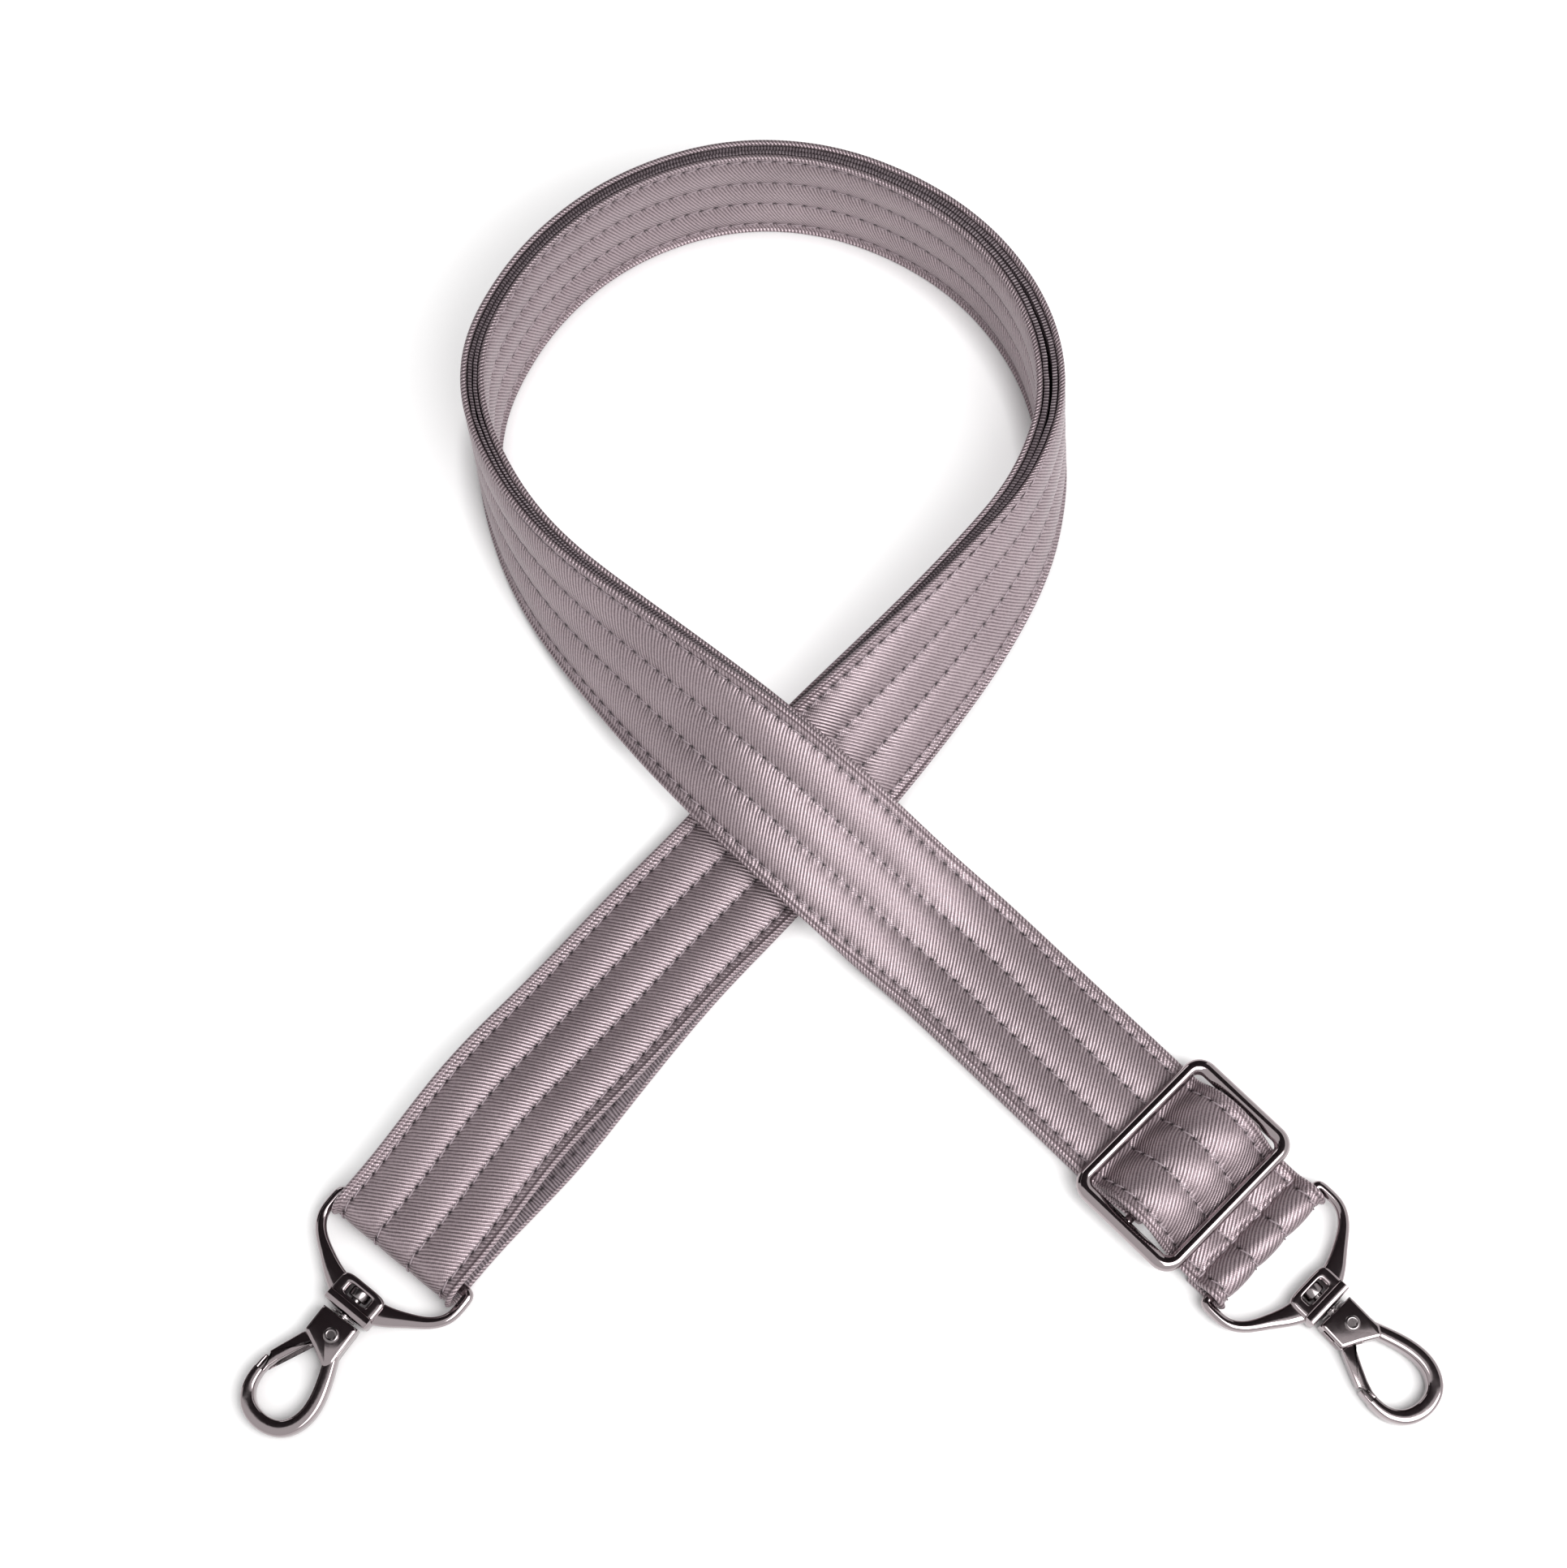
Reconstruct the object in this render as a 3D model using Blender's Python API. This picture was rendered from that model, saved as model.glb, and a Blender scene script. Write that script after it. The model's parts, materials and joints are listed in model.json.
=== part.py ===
"""Detachable bag strap: a quilted satin strap, folded double, with a slider and two swivel snap hooks.

The strap lies on a table. It is one long band: it is folded round the right ring's bar, runs through
the slider, over the crossing, round the loop and down to the left ring, folds round that ring's bar,
and comes back under itself to the slider, where its end is sewn round the centre bar. Every stretch of
the band has a thick quilted facing outside and a thin backing inside.

Units are metres, +Z is up, and the origin is under the middle of the bounding box, on the table.
"""
import bpy
import bmesh
import numpy as np
from math import asin, cos, pi, radians, sin
from mathutils import Matrix, Vector

MM = 0.001

# Strap
STRAP_WIDTH = 38.0 * MM
FACING_THICKNESS = 1.8 * MM
BACKING_THICKNESS = 0.6 * MM
BACKING_INSET = 0.4 * MM
PLY_GAP = 0.3 * MM
LAYER_GAP = 0.5 * MM
STATION_PITCH = 7.0 * MM
FINE_PITCH = 2.0 * MM
CLEARANCE = 0.3 * MM

# The lay on the table
LAY_LENGTH = 350.0 * MM
BRIDGE_LIFT = 11.0 * MM
ARCH_SLACK = 8.0 * MM
SIDE_DRIFT = 4.0 * MM
LEFT_FOLD_RADIUS = 4.6 * MM

# Slider
SLIDER_SIDE_CLEARANCE = 1.6 * MM
SLIDER_DEPTH = 33.5 * MM
SLIDER_BAR = 3.3 * MM
SLIDER_CORNER_RADIUS = 5.5 * MM
CENTRE_BAR_RADIUS = 1.2 * MM
END_LOOP_THICKNESS = 1.4 * MM
END_LOOP_REACH = 12.7 * MM
SLIDER_TO_SEAM = 21.5 * MM
SLIDER_TO_RING = 26.7 * MM
SLIDER_RUN = 62.0 * MM
SEAM_TAB = 2.0 * MM
SEAM_PITCH = 4.0 * MM
SEAM_THREAD = 0.5 * MM

# Ring with its swivel base
RING_WIRE = 2.7 * MM
RING_SIDE_CLEARANCE = 0.5 * MM
RING_REACH = 22.4 * MM
RING_ARM_WIDTH = 6.0 * MM
BASE_WIDTH = 13.4 * MM
BASE_LENGTH = 8.7 * MM
BASE_THICKNESS = 5.0 * MM
BASE_EDGE_BEVEL = 0.7 * MM
POCKET_WIDTH = 7.0 * MM
POCKET_START = 1.9 * MM
POCKET_LENGTH = 2.7 * MM
PIN_RADIUS = 1.3 * MM
PIN_HEAD_RADIUS = 2.6 * MM
PIN_HEAD_LENGTH = 1.6 * MM
PIN_TAIL = 1.1 * MM
SCREW_SLOT_WIDTH = 0.7 * MM
SCREW_SLOT_DEPTH = 0.6 * MM
WASHER_RADIUS = 3.2 * MM
WASHER_THICKNESS = 0.5 * MM

# Hook
HOOK_LENGTH = 32.5 * MM
HOOK_WIDTH = 19.0 * MM
HOOK_THICKNESS = 5.4 * MM
HOOK_ARM_WIDTH = 4.0 * MM
SHOULDER_WIDTH = 10.4 * MM
RIVET_REACH = 4.8 * MM
RIVET_OFFSET = 0.9 * MM
RIVET_RADIUS = 1.1 * MM
RIVET_HEAD_RADIUS = 2.0 * MM
RIVET_HEAD_THICKNESS = 0.5 * MM
GATE_THICKNESS = 3.2 * MM
GATE_ROOT_RADIUS = 3.0 * MM
GATE_ROOT_THICKNESS = 1.8 * MM
GATE_SLOT_THICKNESS = 3.8 * MM
NOSE_LAP = 3.2 * MM
SPRING_WIRE_RADIUS = 0.3 * MM
SPRING_RADIUS = 1.9 * MM

# Bends and rounds, as numbers of steps
BAND_STEPS = 12
UPRIGHT_STEPS = 8
FOLD_TURNS = 8
END_LOOP_TURNS = 5
ROUND_SIDES = 16
CORNER_STEPS = 5
SPRING_STEPS = 21

# The gate spring's arc about the rivet, in degrees
SPRING_START = 210.0
SPRING_END = -110.0

# Headings in the plan, in degrees from +X
SLIDER_HEADING = 134.8
RIGHT_HOOK_HEADING = SLIDER_HEADING - 180.0
LEFT_HOOK_HEADING = -128.6
RIGHT_SWIVEL_SKEW = -2.0
LEFT_SWIVEL_SKEW = 2.6

# Places in the plan, from the middle of the lay
SLIDER_PLACE_SHARES = (0.2806, -0.2920)
LEFT_RING_PLACE_SHARES = (-0.2643, -0.3454)

# Outer foot of the band on the table, from the slider round the loop to the left ring. Each row is
# x and y over LAY_LENGTH, the lean over a right angle, the lift over BRIDGE_LIFT, the slack between
# the layers over ARCH_SLACK and the under layer's sideways drift over SIDE_DRIFT.
FOOT_SHARES = (
    (0.052, -0.148, 0.08, 0.25, 0.00, 0.00),
    (0.011, -0.116, 0.16, 0.80, 0.00, 0.00),
    (-0.041, -0.069, 0.29, 1.05, 0.00, 0.00),
    (-0.077, -0.031, 0.40, 0.95, 0.00, 0.00),
    (-0.108, 0.006, 0.49, 0.60, 0.00, 0.00),
    (-0.144, 0.055, 0.64, 0.15, 0.00, 0.00),
    (-0.183, 0.108, 0.78, 0.00, 0.00, 0.00),
    (-0.212, 0.162, 0.89, 0.00, 0.02, 0.00),
    (-0.229, 0.218, 0.97, 0.00, 0.06, 0.00),
    (-0.236, 0.265, 1.02, 0.00, 0.08, 0.00),
    (-0.231, 0.308, 1.05, 0.00, 0.08, 0.00),
    (-0.216, 0.348, 1.05, 0.00, 0.07, 0.00),
    (-0.189, 0.396, 1.04, 0.00, 0.06, 0.00),
    (-0.140, 0.446, 1.02, 0.00, 0.05, 0.00),
    (-0.075, 0.478, 1.01, 0.00, 0.05, 0.00),
    (-0.013, 0.488, 1.00, 0.00, 0.06, 0.00),
    (0.052, 0.478, 1.00, 0.00, 0.08, 0.00),
    (0.117, 0.446, 0.99, 0.00, 0.13, 0.00),
    (0.168, 0.399, 0.99, 0.00, 0.19, 0.00),
    (0.203, 0.336, 0.98, 0.00, 0.24, 0.00),
    (0.215, 0.277, 0.95, 0.00, 0.24, 0.00),
    (0.214, 0.230, 0.90, 0.00, 0.20, 0.00),
    (0.205, 0.175, 0.80, 0.00, 0.12, 0.00),
    (0.182, 0.121, 0.68, 0.00, 0.05, 0.00),
    (0.151, 0.068, 0.57, 0.00, 0.00, 0.00),
    (0.114, 0.017, 0.46, 0.00, 0.00, 0.00),
    (0.080, -0.027, 0.31, 0.00, 0.00, 0.00),
    (0.044, -0.069, 0.13, 0.00, 0.00, 0.00),
    (0.007, -0.110, 0.03, 0.00, 0.02, 0.00),
    (-0.042, -0.159, 0.00, 0.00, 0.08, 0.05),
    (-0.082, -0.206, 0.00, 0.00, 0.25, 0.20),
    (-0.118, -0.248, 0.00, 0.00, 0.60, 0.50),
    (-0.156, -0.290, 0.00, 0.00, 1.00, 0.95),
)
# The band is cut into stretches at these shares of its length between the slider and the left ring.
LEG_END_SHARE = 0.27
LOOP_END_SHARE = 0.70
# Rounding of a band's long edges over its thickness.
EDGE_ROUND_SHARE = 0.333

# Top layer over the slider's centre bar: run over the distance from the centre bar to the frame's bar,
# and height over the rise from the flat band to the crest.
WAVE_SHARES = (
    (-0.72, 0.16),
    (-0.42, 0.80),
    (-0.18, 1.06),
    (0.18, 1.06),
    (0.40, 0.80),
    (0.62, 0.16),
    (0.80, 0.00),
)
# Straight lengths into and out of the left fold, over a quarter of its turn.
FOLD_LEAD_SHARES = (1.40, 1.00, 0.60, 0.25)
# End loop on its way up to the centre bar and down again: run over END_LOOP_REACH, and height over the
# way from the table to the bar's underside, or from the sewn end to the bar's top.
END_UP_SHARES = ((1.24, 0.000), (1.00, 0.000), (0.76, 0.000), (0.45, 0.450), (0.20, 0.945))
END_DOWN_SHARES = ((0.22, 0.918), (0.45, 0.389), (0.70, 0.093), (1.00, 0.000), (1.30, -0.093))
# Tail on its way to the right ring's bar and back, from the ring over the way to the seam. On the way
# back each row also has the height over the drop from the fold's top to the seam.
TAIL_OUT_SHARES = (1.30, 1.00, 0.55, 0.18)
TAIL_BACK_SHARES = ((0.22, 0.78), (0.50, 0.18), (0.76, 0.00), (0.98, 0.00), (1.25, 0.00))
# One stitch of the cross seam: place over SEAM_PITCH, and width over SEAM_THREAD.
SEAM_STITCH_SHARES = ((-0.42, 0.50), (-0.30, 1.00), (0.30, 1.00), (0.42, 0.50))

# Ring centreline from the middle of its bar to the middle of its base: x over RING_REACH, y over half
# the ring's width, and the wire's width over RING_ARM_WIDTH, with half the width at the bar.
RING_ARM_SHARES = (
    (0.000, 0.00, 0.45),
    (0.000, 0.30, 0.45),
    (0.000, 0.65, 0.45),
    (0.000, 0.90, 0.45),
    (-0.010, 1.00, 0.45),
    (0.140, 1.00, 0.45),
    (0.330, 1.00, 0.45),
    (0.500, 0.86, 0.48),
    (0.620, 0.63, 0.62),
    (0.735, 0.42, 0.85),
    (0.800, 0.20, 1.00),
    (0.800, 0.00, 1.00),
)
# Hook arm centreline from the body round to the nose: x over HOOK_LENGTH from the shoulder, y over
# half of HOOK_WIDTH, and the arm's width over HOOK_ARM_WIDTH.
HOOK_ARM_SHARES = (
    (0.16, 0.30, 0.80),
    (0.24, 0.36, 0.84),
    (0.37, 0.55, 0.90),
    (0.50, 0.72, 0.94),
    (0.64, 0.83, 0.98),
    (0.78, 0.80, 1.00),
    (0.905, 0.54, 1.02),
    (0.945, 0.15, 1.02),
    (0.945, -0.20, 1.02),
    (0.905, -0.60, 0.95),
    (0.80, -0.86, 0.78),
    (0.67, -0.90, 0.66),
    (0.56, -0.88, 0.62),
)
# Hook body and gate outlines: x over HOOK_LENGTH from the shoulder, y over half of HOOK_WIDTH.
BODY_SHARES = (
    (0.000, 0.547),
    (0.215, 0.547),
    (0.300, 0.560),
    (0.370, 0.420),
    (0.290, -0.080),
    (0.225, -0.557),
    (0.000, -0.547),
)
GATE_ROOM_SHARES = ((0.300, 0.000), (0.340, -0.300))
GATE_WEB_SHARES = ((0.160, -0.100), (0.300, -0.200), (0.300, -0.560), (0.160, -0.520))
GATE_INNER_SHARES = ((0.262, -0.205), (0.395, -0.440), (0.520, -0.650))
GATE_OUTER_SHARES = ((0.375, -0.745), (0.250, -0.575))
GATE_SHOULDER_SHARES = (0.520, -0.900)
GATE_BACK_SHARE = -0.965
TONGUE_INNER_SHARE = -0.745
TONGUE_OUTER_SHARE = -0.865
NOSE_LIP_SHARE = -0.895
NOSE_NOTCH_SHARES = (0.480, -0.500)
NOSE_TRIM_SHARES = (0.400, -1.200)
HEEL_SHARES = ((0.235, -0.020), (0.235, -0.545))
# Thickness of the hook's arm over HOOK_THICKNESS, and the rivet's crown over its head.
ARM_THICKNESS_SHARE = 0.85
RIVET_CROWN_SHARE = 0.80

# Colours: linear RGB, metallic, roughness
SATIN = ((0.205, 0.165, 0.180), 0.0, 0.42)
LINING = ((0.150, 0.118, 0.130), 0.0, 0.70)
THREAD = ((0.240, 0.200, 0.215), 0.0, 0.55)
GUNMETAL = ((0.105, 0.090, 0.095), 1.0, 0.20)
STEEL = ((0.300, 0.280, 0.280), 1.0, 0.30)

LAYER = FACING_THICKNESS + PLY_GAP + BACKING_THICKNESS
BAR_RADIUS = SLIDER_BAR / 2
SLIDER_LENGTH = STRAP_WIDTH + 2 * (SLIDER_SIDE_CLEARANCE + SLIDER_BAR)
WIRE_RADIUS = RING_WIRE / 2
SLIDER_HEIGHT = 2 * LAYER + LAYER_GAP + CLEARANCE + BAR_RADIUS
RING_HEIGHT = LAYER + CLEARANCE + WIRE_RADIUS
RING_HALF = STRAP_WIDTH / 2 + RING_SIDE_CLEARANCE + WIRE_RADIUS
WASHER_START = RING_REACH + CLEARANCE
SHOULDER = WASHER_START + WASHER_THICKNESS + CLEARANCE
RIVET_X = SHOULDER + RIVET_REACH
CHAIN_PITCH = asin((RING_HEIGHT - HOOK_THICKNESS / 2) / (SHOULDER + HOOK_LENGTH))
UP = Vector((0, 0, 1))


def clear_scene():
    for thing in list(bpy.data.objects):
        bpy.data.objects.remove(thing, do_unlink=True)


def material(name, look):
    colour, metallic, roughness = look
    made = bpy.data.materials.get(name) or bpy.data.materials.new(name)
    made.use_nodes = True
    made.diffuse_color = (*colour, 1.0)
    shader = made.node_tree.nodes["Principled BSDF"]
    shader.inputs["Base Color"].default_value = (*colour, 1.0)
    shader.inputs["Metallic"].default_value = metallic
    shader.inputs["Roughness"].default_value = roughness
    return made


def add_object(name, mesh_data, look, parent=None, smooth_degrees=40.0):
    """Turn a bmesh into a named object with its own material."""
    bmesh.ops.recalc_face_normals(mesh_data, faces=mesh_data.faces)
    mesh = bpy.data.meshes.new(name)
    mesh_data.to_mesh(mesh)
    mesh_data.free()
    mesh.materials.append(material(name + "_finish", look))
    mesh.shade_smooth()
    mesh.set_sharp_from_angle(angle=radians(smooth_degrees))
    thing = bpy.data.objects.new(name, mesh)
    bpy.context.collection.objects.link(thing)
    thing.parent = parent
    return thing


def add_empty(name, place, parent=None):
    empty = bpy.data.objects.new(name, None)
    empty.empty_display_size = RING_WIRE
    bpy.context.collection.objects.link(empty)
    empty.parent = parent
    empty.matrix_local = place
    return empty


def add_boolean(target, cutter, operation):
    """Cut or join one object with a hidden helper."""
    cutter.hide_render = True
    cutter.display_type = "WIRE"
    step = target.modifiers.new(operation.title(), "BOOLEAN")
    step.operation = operation
    step.solver = "EXACT"
    step.object = cutter


def plan_direction(heading):
    return Vector((cos(radians(heading)), sin(radians(heading)), 0))


def left_of(direction):
    return Vector((-direction.y, direction.x, 0))


def plan_place(shares):
    return Vector((shares[0] * LAY_LENGTH, shares[1] * LAY_LENGTH, 0))


def spline(rows, per_span):
    """Uniform cubic B-spline through the middle of a table's rows, as an array of rows."""
    rows = np.array(rows, dtype=float)
    found = []
    for first in range(len(rows) - 3):
        for step in range(per_span):
            t = step / per_span
            weights = ((1 - t) ** 3, 3 * t**3 - 6 * t**2 + 4, -3 * t**3 + 3 * t**2 + 3 * t + 1, t**3)
            found.append(sum(w * row for w, row in zip(weights, rows[first:first + 4])) / 6)
    found.append((rows[-3] + 4 * rows[-2] + rows[-1]) / 6)
    return np.array(found)


def stations(points, pitch, start_share=0.0, end_share=1.0, gap=0.0):
    """Even stations between two shares of a line's length, a gap short at each end.

    They are fractional indices into the line's points.
    """
    steps = np.linalg.norm(np.diff(points, axis=0), axis=1)
    length = np.concatenate([[0.0], np.cumsum(steps)])
    low = start_share * length[-1] + gap
    high = end_share * length[-1] - gap
    count = max(2, int(round((high - low) / pitch)) + 1)
    return np.interp(np.linspace(low, high, count), length, np.arange(len(points)))


def take(values, index):
    """Read an array of rows at fractional indices."""
    columns = [np.interp(index, np.arange(len(values)), values[:, k]) for k in range(values.shape[1])]
    return np.array(columns).T


def ribbon_section(width, thickness, rim):
    """Corner points of a band's section as (across, outward), its long edges cut back by the rim."""
    half = width / 2
    flat = thickness / 2
    face = [(-half + rim, -flat), (-half / 3, -flat), (half / 3, -flat), (half - rim, -flat)]
    edge = [(half, -flat + rim), (half, flat - rim)] if rim else []
    near = face + edge
    return near + [(-a, -b) for a, b in near]


def ribbon(name, centres, across, normals, width, thickness, rim, look):
    """A closed band swept along its stations, every span split along the same diagonal."""
    section = ribbon_section(width, thickness, rim)
    mesh_data = bmesh.new()
    rings = []
    for centre, side, normal in zip(centres, across, normals):
        rings.append([mesh_data.verts.new(Vector(centre + side * a + normal * b)) for a, b in section])
    for one, two in zip(rings[:-1], rings[1:]):
        for k in range(len(section)):
            after = (k + 1) % len(section)
            if section[after][0] >= section[k][0]:
                mesh_data.faces.new((one[k], one[after], two[after]))
                mesh_data.faces.new((one[k], two[after], two[k]))
            else:
                mesh_data.faces.new((one[k], one[after], two[k]))
                mesh_data.faces.new((one[after], two[after], two[k]))
    mesh_data.faces.new(list(reversed(rings[0])))
    mesh_data.faces.new(rings[-1])
    return add_object(name, mesh_data, look)


def layer_pair(name, surface, across, normals, index):
    """Facing and backing of one layer, whose inside face is the given surface."""
    outward = take(normals, index)
    sideways = take(across, index)
    inside = take(surface, index)
    facing = inside + outward * (BACKING_THICKNESS + PLY_GAP + FACING_THICKNESS / 2)
    ribbon(name + "_facing", facing, sideways, outward, STRAP_WIDTH, FACING_THICKNESS,
           FACING_THICKNESS * EDGE_ROUND_SHARE, SATIN)
    backing = inside + outward * BACKING_THICKNESS / 2
    ribbon(name + "_backing", backing, sideways, outward, STRAP_WIDTH - 2 * BACKING_INSET,
           BACKING_THICKNESS, 0.0, LINING)


def band_route():
    """Inside surfaces, across vectors and normals of both layers between the slider and the left ring."""
    travel = plan_direction(SLIDER_HEADING)
    start = plan_place(SLIDER_PLACE_SHARES) + travel * SLIDER_RUN + left_of(travel) * STRAP_WIDTH / 2
    arrive = plan_direction(LEFT_HOOK_HEADING)
    finish = plan_place(LEFT_RING_PLACE_SHARES) + left_of(arrive) * STRAP_WIDTH / 2
    reach = SLIDER_RUN / 4
    end_slack = (2 * LEFT_FOLD_RADIUS - LAYER - LAYER_GAP) / ARCH_SLACK
    rows = []
    for step in (-1, 0, 1):
        spot = start + travel * reach * step
        rows.append((spot.x, spot.y, 0, 0, 0, 0))
    for x, y, lean, lift, slack, drift in FOOT_SHARES:
        rows.append((x * LAY_LENGTH, y * LAY_LENGTH, lean, lift, slack, drift))
    for step in (-1, 0, 1):
        spot = finish + arrive * reach * step
        rows.append((spot.x, spot.y, 0, 0, end_slack, 0))
    dense = spline(rows, BAND_STEPS)
    way = np.gradient(dense[:, :2], axis=0)
    way = way / np.linalg.norm(way, axis=1)[:, None]
    left = np.stack([-way[:, 1], way[:, 0], np.zeros(len(way))], axis=1)
    lean = dense[:, 2] * pi / 2
    tilt_cos = np.cos(lean)[:, None]
    tilt_sin = np.sin(lean)[:, None]
    up = np.array(UP)
    normals = up * tilt_cos + left * tilt_sin
    across = left * tilt_cos - up * tilt_sin
    height = np.maximum(LAYER * np.cos(lean), -(LAYER + LAYER_GAP) * np.cos(lean))
    foot = np.column_stack([dense[:, :2], height + dense[:, 3] * BRIDGE_LIFT])
    foot = foot - left * (LAYER + LAYER_GAP) * tilt_sin
    middle = foot - across * STRAP_WIDTH / 2
    outer = middle + normals * (LAYER_GAP + dense[:, 4] * ARCH_SLACK)[:, None]
    inner = middle + across * (dense[:, 5] * SIDE_DRIFT)[:, None]
    return outer, inner, across, normals


def build_band():
    """Both layers between the slider and the left ring, in three stretches each."""
    outer, inner, across, normals = band_route()
    cuts = (0.0, LEG_END_SHARE, LOOP_END_SHARE, 1.0)
    for layer, surface, sign in (("outer", outer, 1), ("return", inner, -1)):
        for place, low, high in zip(("upper_leg", "loop", "lower_leg"), cuts[:-1], cuts[1:]):
            index = stations(surface, STATION_PITCH, low, high, CLEARANCE / 2)
            layer_pair(f"{layer}_{place}", surface, across, sign * normals, index)


def upright_path(origin, heading, rows):
    """Surface, across vectors and normals of a path drawn in an upright plane: rows are (run, height)."""
    travel = np.array(plan_direction(heading))
    dense = spline(rows, UPRIGHT_STEPS)
    way = np.gradient(dense, axis=0)
    way = way / np.linalg.norm(way, axis=1)[:, None]
    points = np.array(origin) + travel * dense[:, :1] + np.array(UP) * dense[:, 1:]
    normals = np.array(UP) * way[:, :1] - travel * way[:, 1:]
    across = np.tile(np.array(left_of(plan_direction(heading))), (len(dense), 1))
    return points, across, normals


def arc_rows(radius, run, height, first, last, turns):
    """Control rows round an arc between two angles in degrees.

    They stand a little outside the arc, because the spline stays inside its control rows.
    """
    step = radians(last - first) / turns
    grown = radius / (1 - step**2 / 6)
    angles = [radians(first) + step * k for k in range(turns + 1)]
    return [(run + grown * cos(angle), height + grown * sin(angle)) for angle in angles]


def build_left_fold():
    """The band's turn round the left ring's bar, between the top and bottom layers."""
    origin = plan_place(LEFT_RING_PLACE_SHARES)
    inside = LEFT_FOLD_RADIUS - LAYER / 2
    height = LAYER + inside
    quarter = pi * inside / 2
    rows = [(-quarter * share, height + inside) for share in FOLD_LEAD_SHARES]
    rows += arc_rows(inside, 0.0, height, 90.0, -90.0, FOLD_TURNS)
    rows += [(-quarter * share, height - inside) for share in reversed(FOLD_LEAD_SHARES)]
    points, across, normals = upright_path(origin, LEFT_HOOK_HEADING, rows)
    run = (points - np.array(origin)) @ np.array(plan_direction(LEFT_HOOK_HEADING))
    keep = np.where(run >= CLEARANCE / 2)[0]
    index = stations(points[keep[0]:keep[-1] + 1], FINE_PITCH / 2) + keep[0]
    layer_pair("left_fold", points, across, normals, index)


def wave_rows():
    """Control rows of the top layer's inside face through the slider: run from the centre bar, height."""
    bar = SLIDER_DEPTH / 2 - BAR_RADIUS
    low = LAYER + LAYER_GAP
    crest = SLIDER_HEIGHT + CENTRE_BAR_RADIUS + END_LOOP_THICKNESS + 2 * CLEARANCE
    rise = crest - low
    seam = LAYER + CLEARANCE
    rows = [(-SLIDER_TO_SEAM - CLEARANCE, seam), (-SLIDER_TO_SEAM + SEAM_TAB, seam), (-bar, seam)]
    rows += [(bar * along, low + rise * share) for along, share in WAVE_SHARES]
    rows += [(run, low) for run in np.linspace(bar, SLIDER_RUN + bar, len(WAVE_SHARES))]
    return rows


def build_slider_stretches():
    """The top layer over the centre bar, and both layers' straight run beside the slider."""
    origin = plan_place(SLIDER_PLACE_SHARES)
    travel = np.array(plan_direction(SLIDER_HEADING))
    points, across, normals = upright_path(origin, SLIDER_HEADING, wave_rows())
    run = (points - np.array(origin)) @ travel
    seam = -SLIDER_TO_SEAM + SEAM_TAB
    for name, low, high in (
        ("slider_wave", seam + CLEARANCE / 2, -CLEARANCE / 2),
        ("slider_run", CLEARANCE / 2, SLIDER_RUN - CLEARANCE / 2),
    ):
        bend_end = min(high, SLIDER_DEPTH / 2)
        places = [*np.arange(low, bend_end, FINE_PITCH), *np.arange(bend_end, high, STATION_PITCH), high]
        index = np.interp(places, run, np.arange(len(run)))
        layer_pair(name, points, across, normals, index)
    places = np.linspace(END_LOOP_REACH + CLEARANCE, SLIDER_RUN - CLEARANCE / 2, len(WAVE_SHARES))
    flat = np.array(origin) + travel * places[:, None] + np.array(UP) * LAYER
    sides = np.tile(np.array(left_of(plan_direction(SLIDER_HEADING))), (len(places), 1))
    down = np.tile(-np.array(UP), (len(places), 1))
    layer_pair("return_slider_run", flat, sides, down, np.arange(len(places)))


def build_end_loop():
    """The band's thin end, sewn round the slider's centre bar."""
    half = END_LOOP_THICKNESS / 2
    radius = CENTRE_BAR_RADIUS + CLEARANCE + half
    low = half + CLEARANCE / 2
    sewn = low + END_LOOP_THICKNESS + CLEARANCE
    up = SLIDER_HEIGHT - radius - low
    down = SLIDER_HEIGHT + radius - sewn
    rows = [(END_LOOP_REACH * along, low + up * share) for along, share in END_UP_SHARES]
    rows += arc_rows(radius, 0.0, SLIDER_HEIGHT, -100.0, -260.0, END_LOOP_TURNS)
    rows += [(END_LOOP_REACH * along, sewn + down * share) for along, share in END_DOWN_SHARES]
    points, across, normals = upright_path(plan_place(SLIDER_PLACE_SHARES), SLIDER_HEADING, rows)
    index = stations(points, FINE_PITCH)
    ribbon("end_loop", take(points, index), take(across, index), take(normals, index),
           STRAP_WIDTH - 2 * BACKING_INSET, END_LOOP_THICKNESS, END_LOOP_THICKNESS * EDGE_ROUND_SHARE, SATIN)


def build_tail():
    """The band's other end, folded round the right ring's bar and sewn down as a tab."""
    origin = plan_place(SLIDER_PLACE_SHARES)
    inside = WIRE_RADIUS + CLEARANCE
    ring = -SLIDER_TO_RING
    span = -SLIDER_TO_SEAM + SEAM_TAB - ring
    sewn = LAYER + CLEARANCE
    drop = LAYER + 2 * inside - sewn
    rows = [(ring + span * share, LAYER) for share in TAIL_OUT_SHARES]
    rows += arc_rows(inside, ring, LAYER + inside, -90.0, -270.0, FOLD_TURNS)
    rows += [(ring + span * along, sewn + drop * share) for along, share in TAIL_BACK_SHARES]
    points, across, normals = upright_path(origin, SLIDER_HEADING, rows)
    run = (points - np.array(origin)) @ np.array(plan_direction(SLIDER_HEADING))
    keep = np.where(run <= ring + span - CLEARANCE / 2)[0]
    index = stations(points[keep[0]:keep[-1] + 1], FINE_PITCH / 2) + keep[0]
    layer_pair("tail", points, across, normals, index)


def rounded_section(width, thickness, round_share=0.32):
    """Eight points of a rounded bar section, as (sideways, up)."""
    w = width / 2
    h = thickness / 2
    cut = min(width, thickness) * round_share
    return (
        (w, -h + cut), (w, h - cut), (w - cut, h), (-w + cut, h),
        (-w, h - cut), (-w, -h + cut), (-w + cut, -h), (w - cut, -h),
    )


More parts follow.
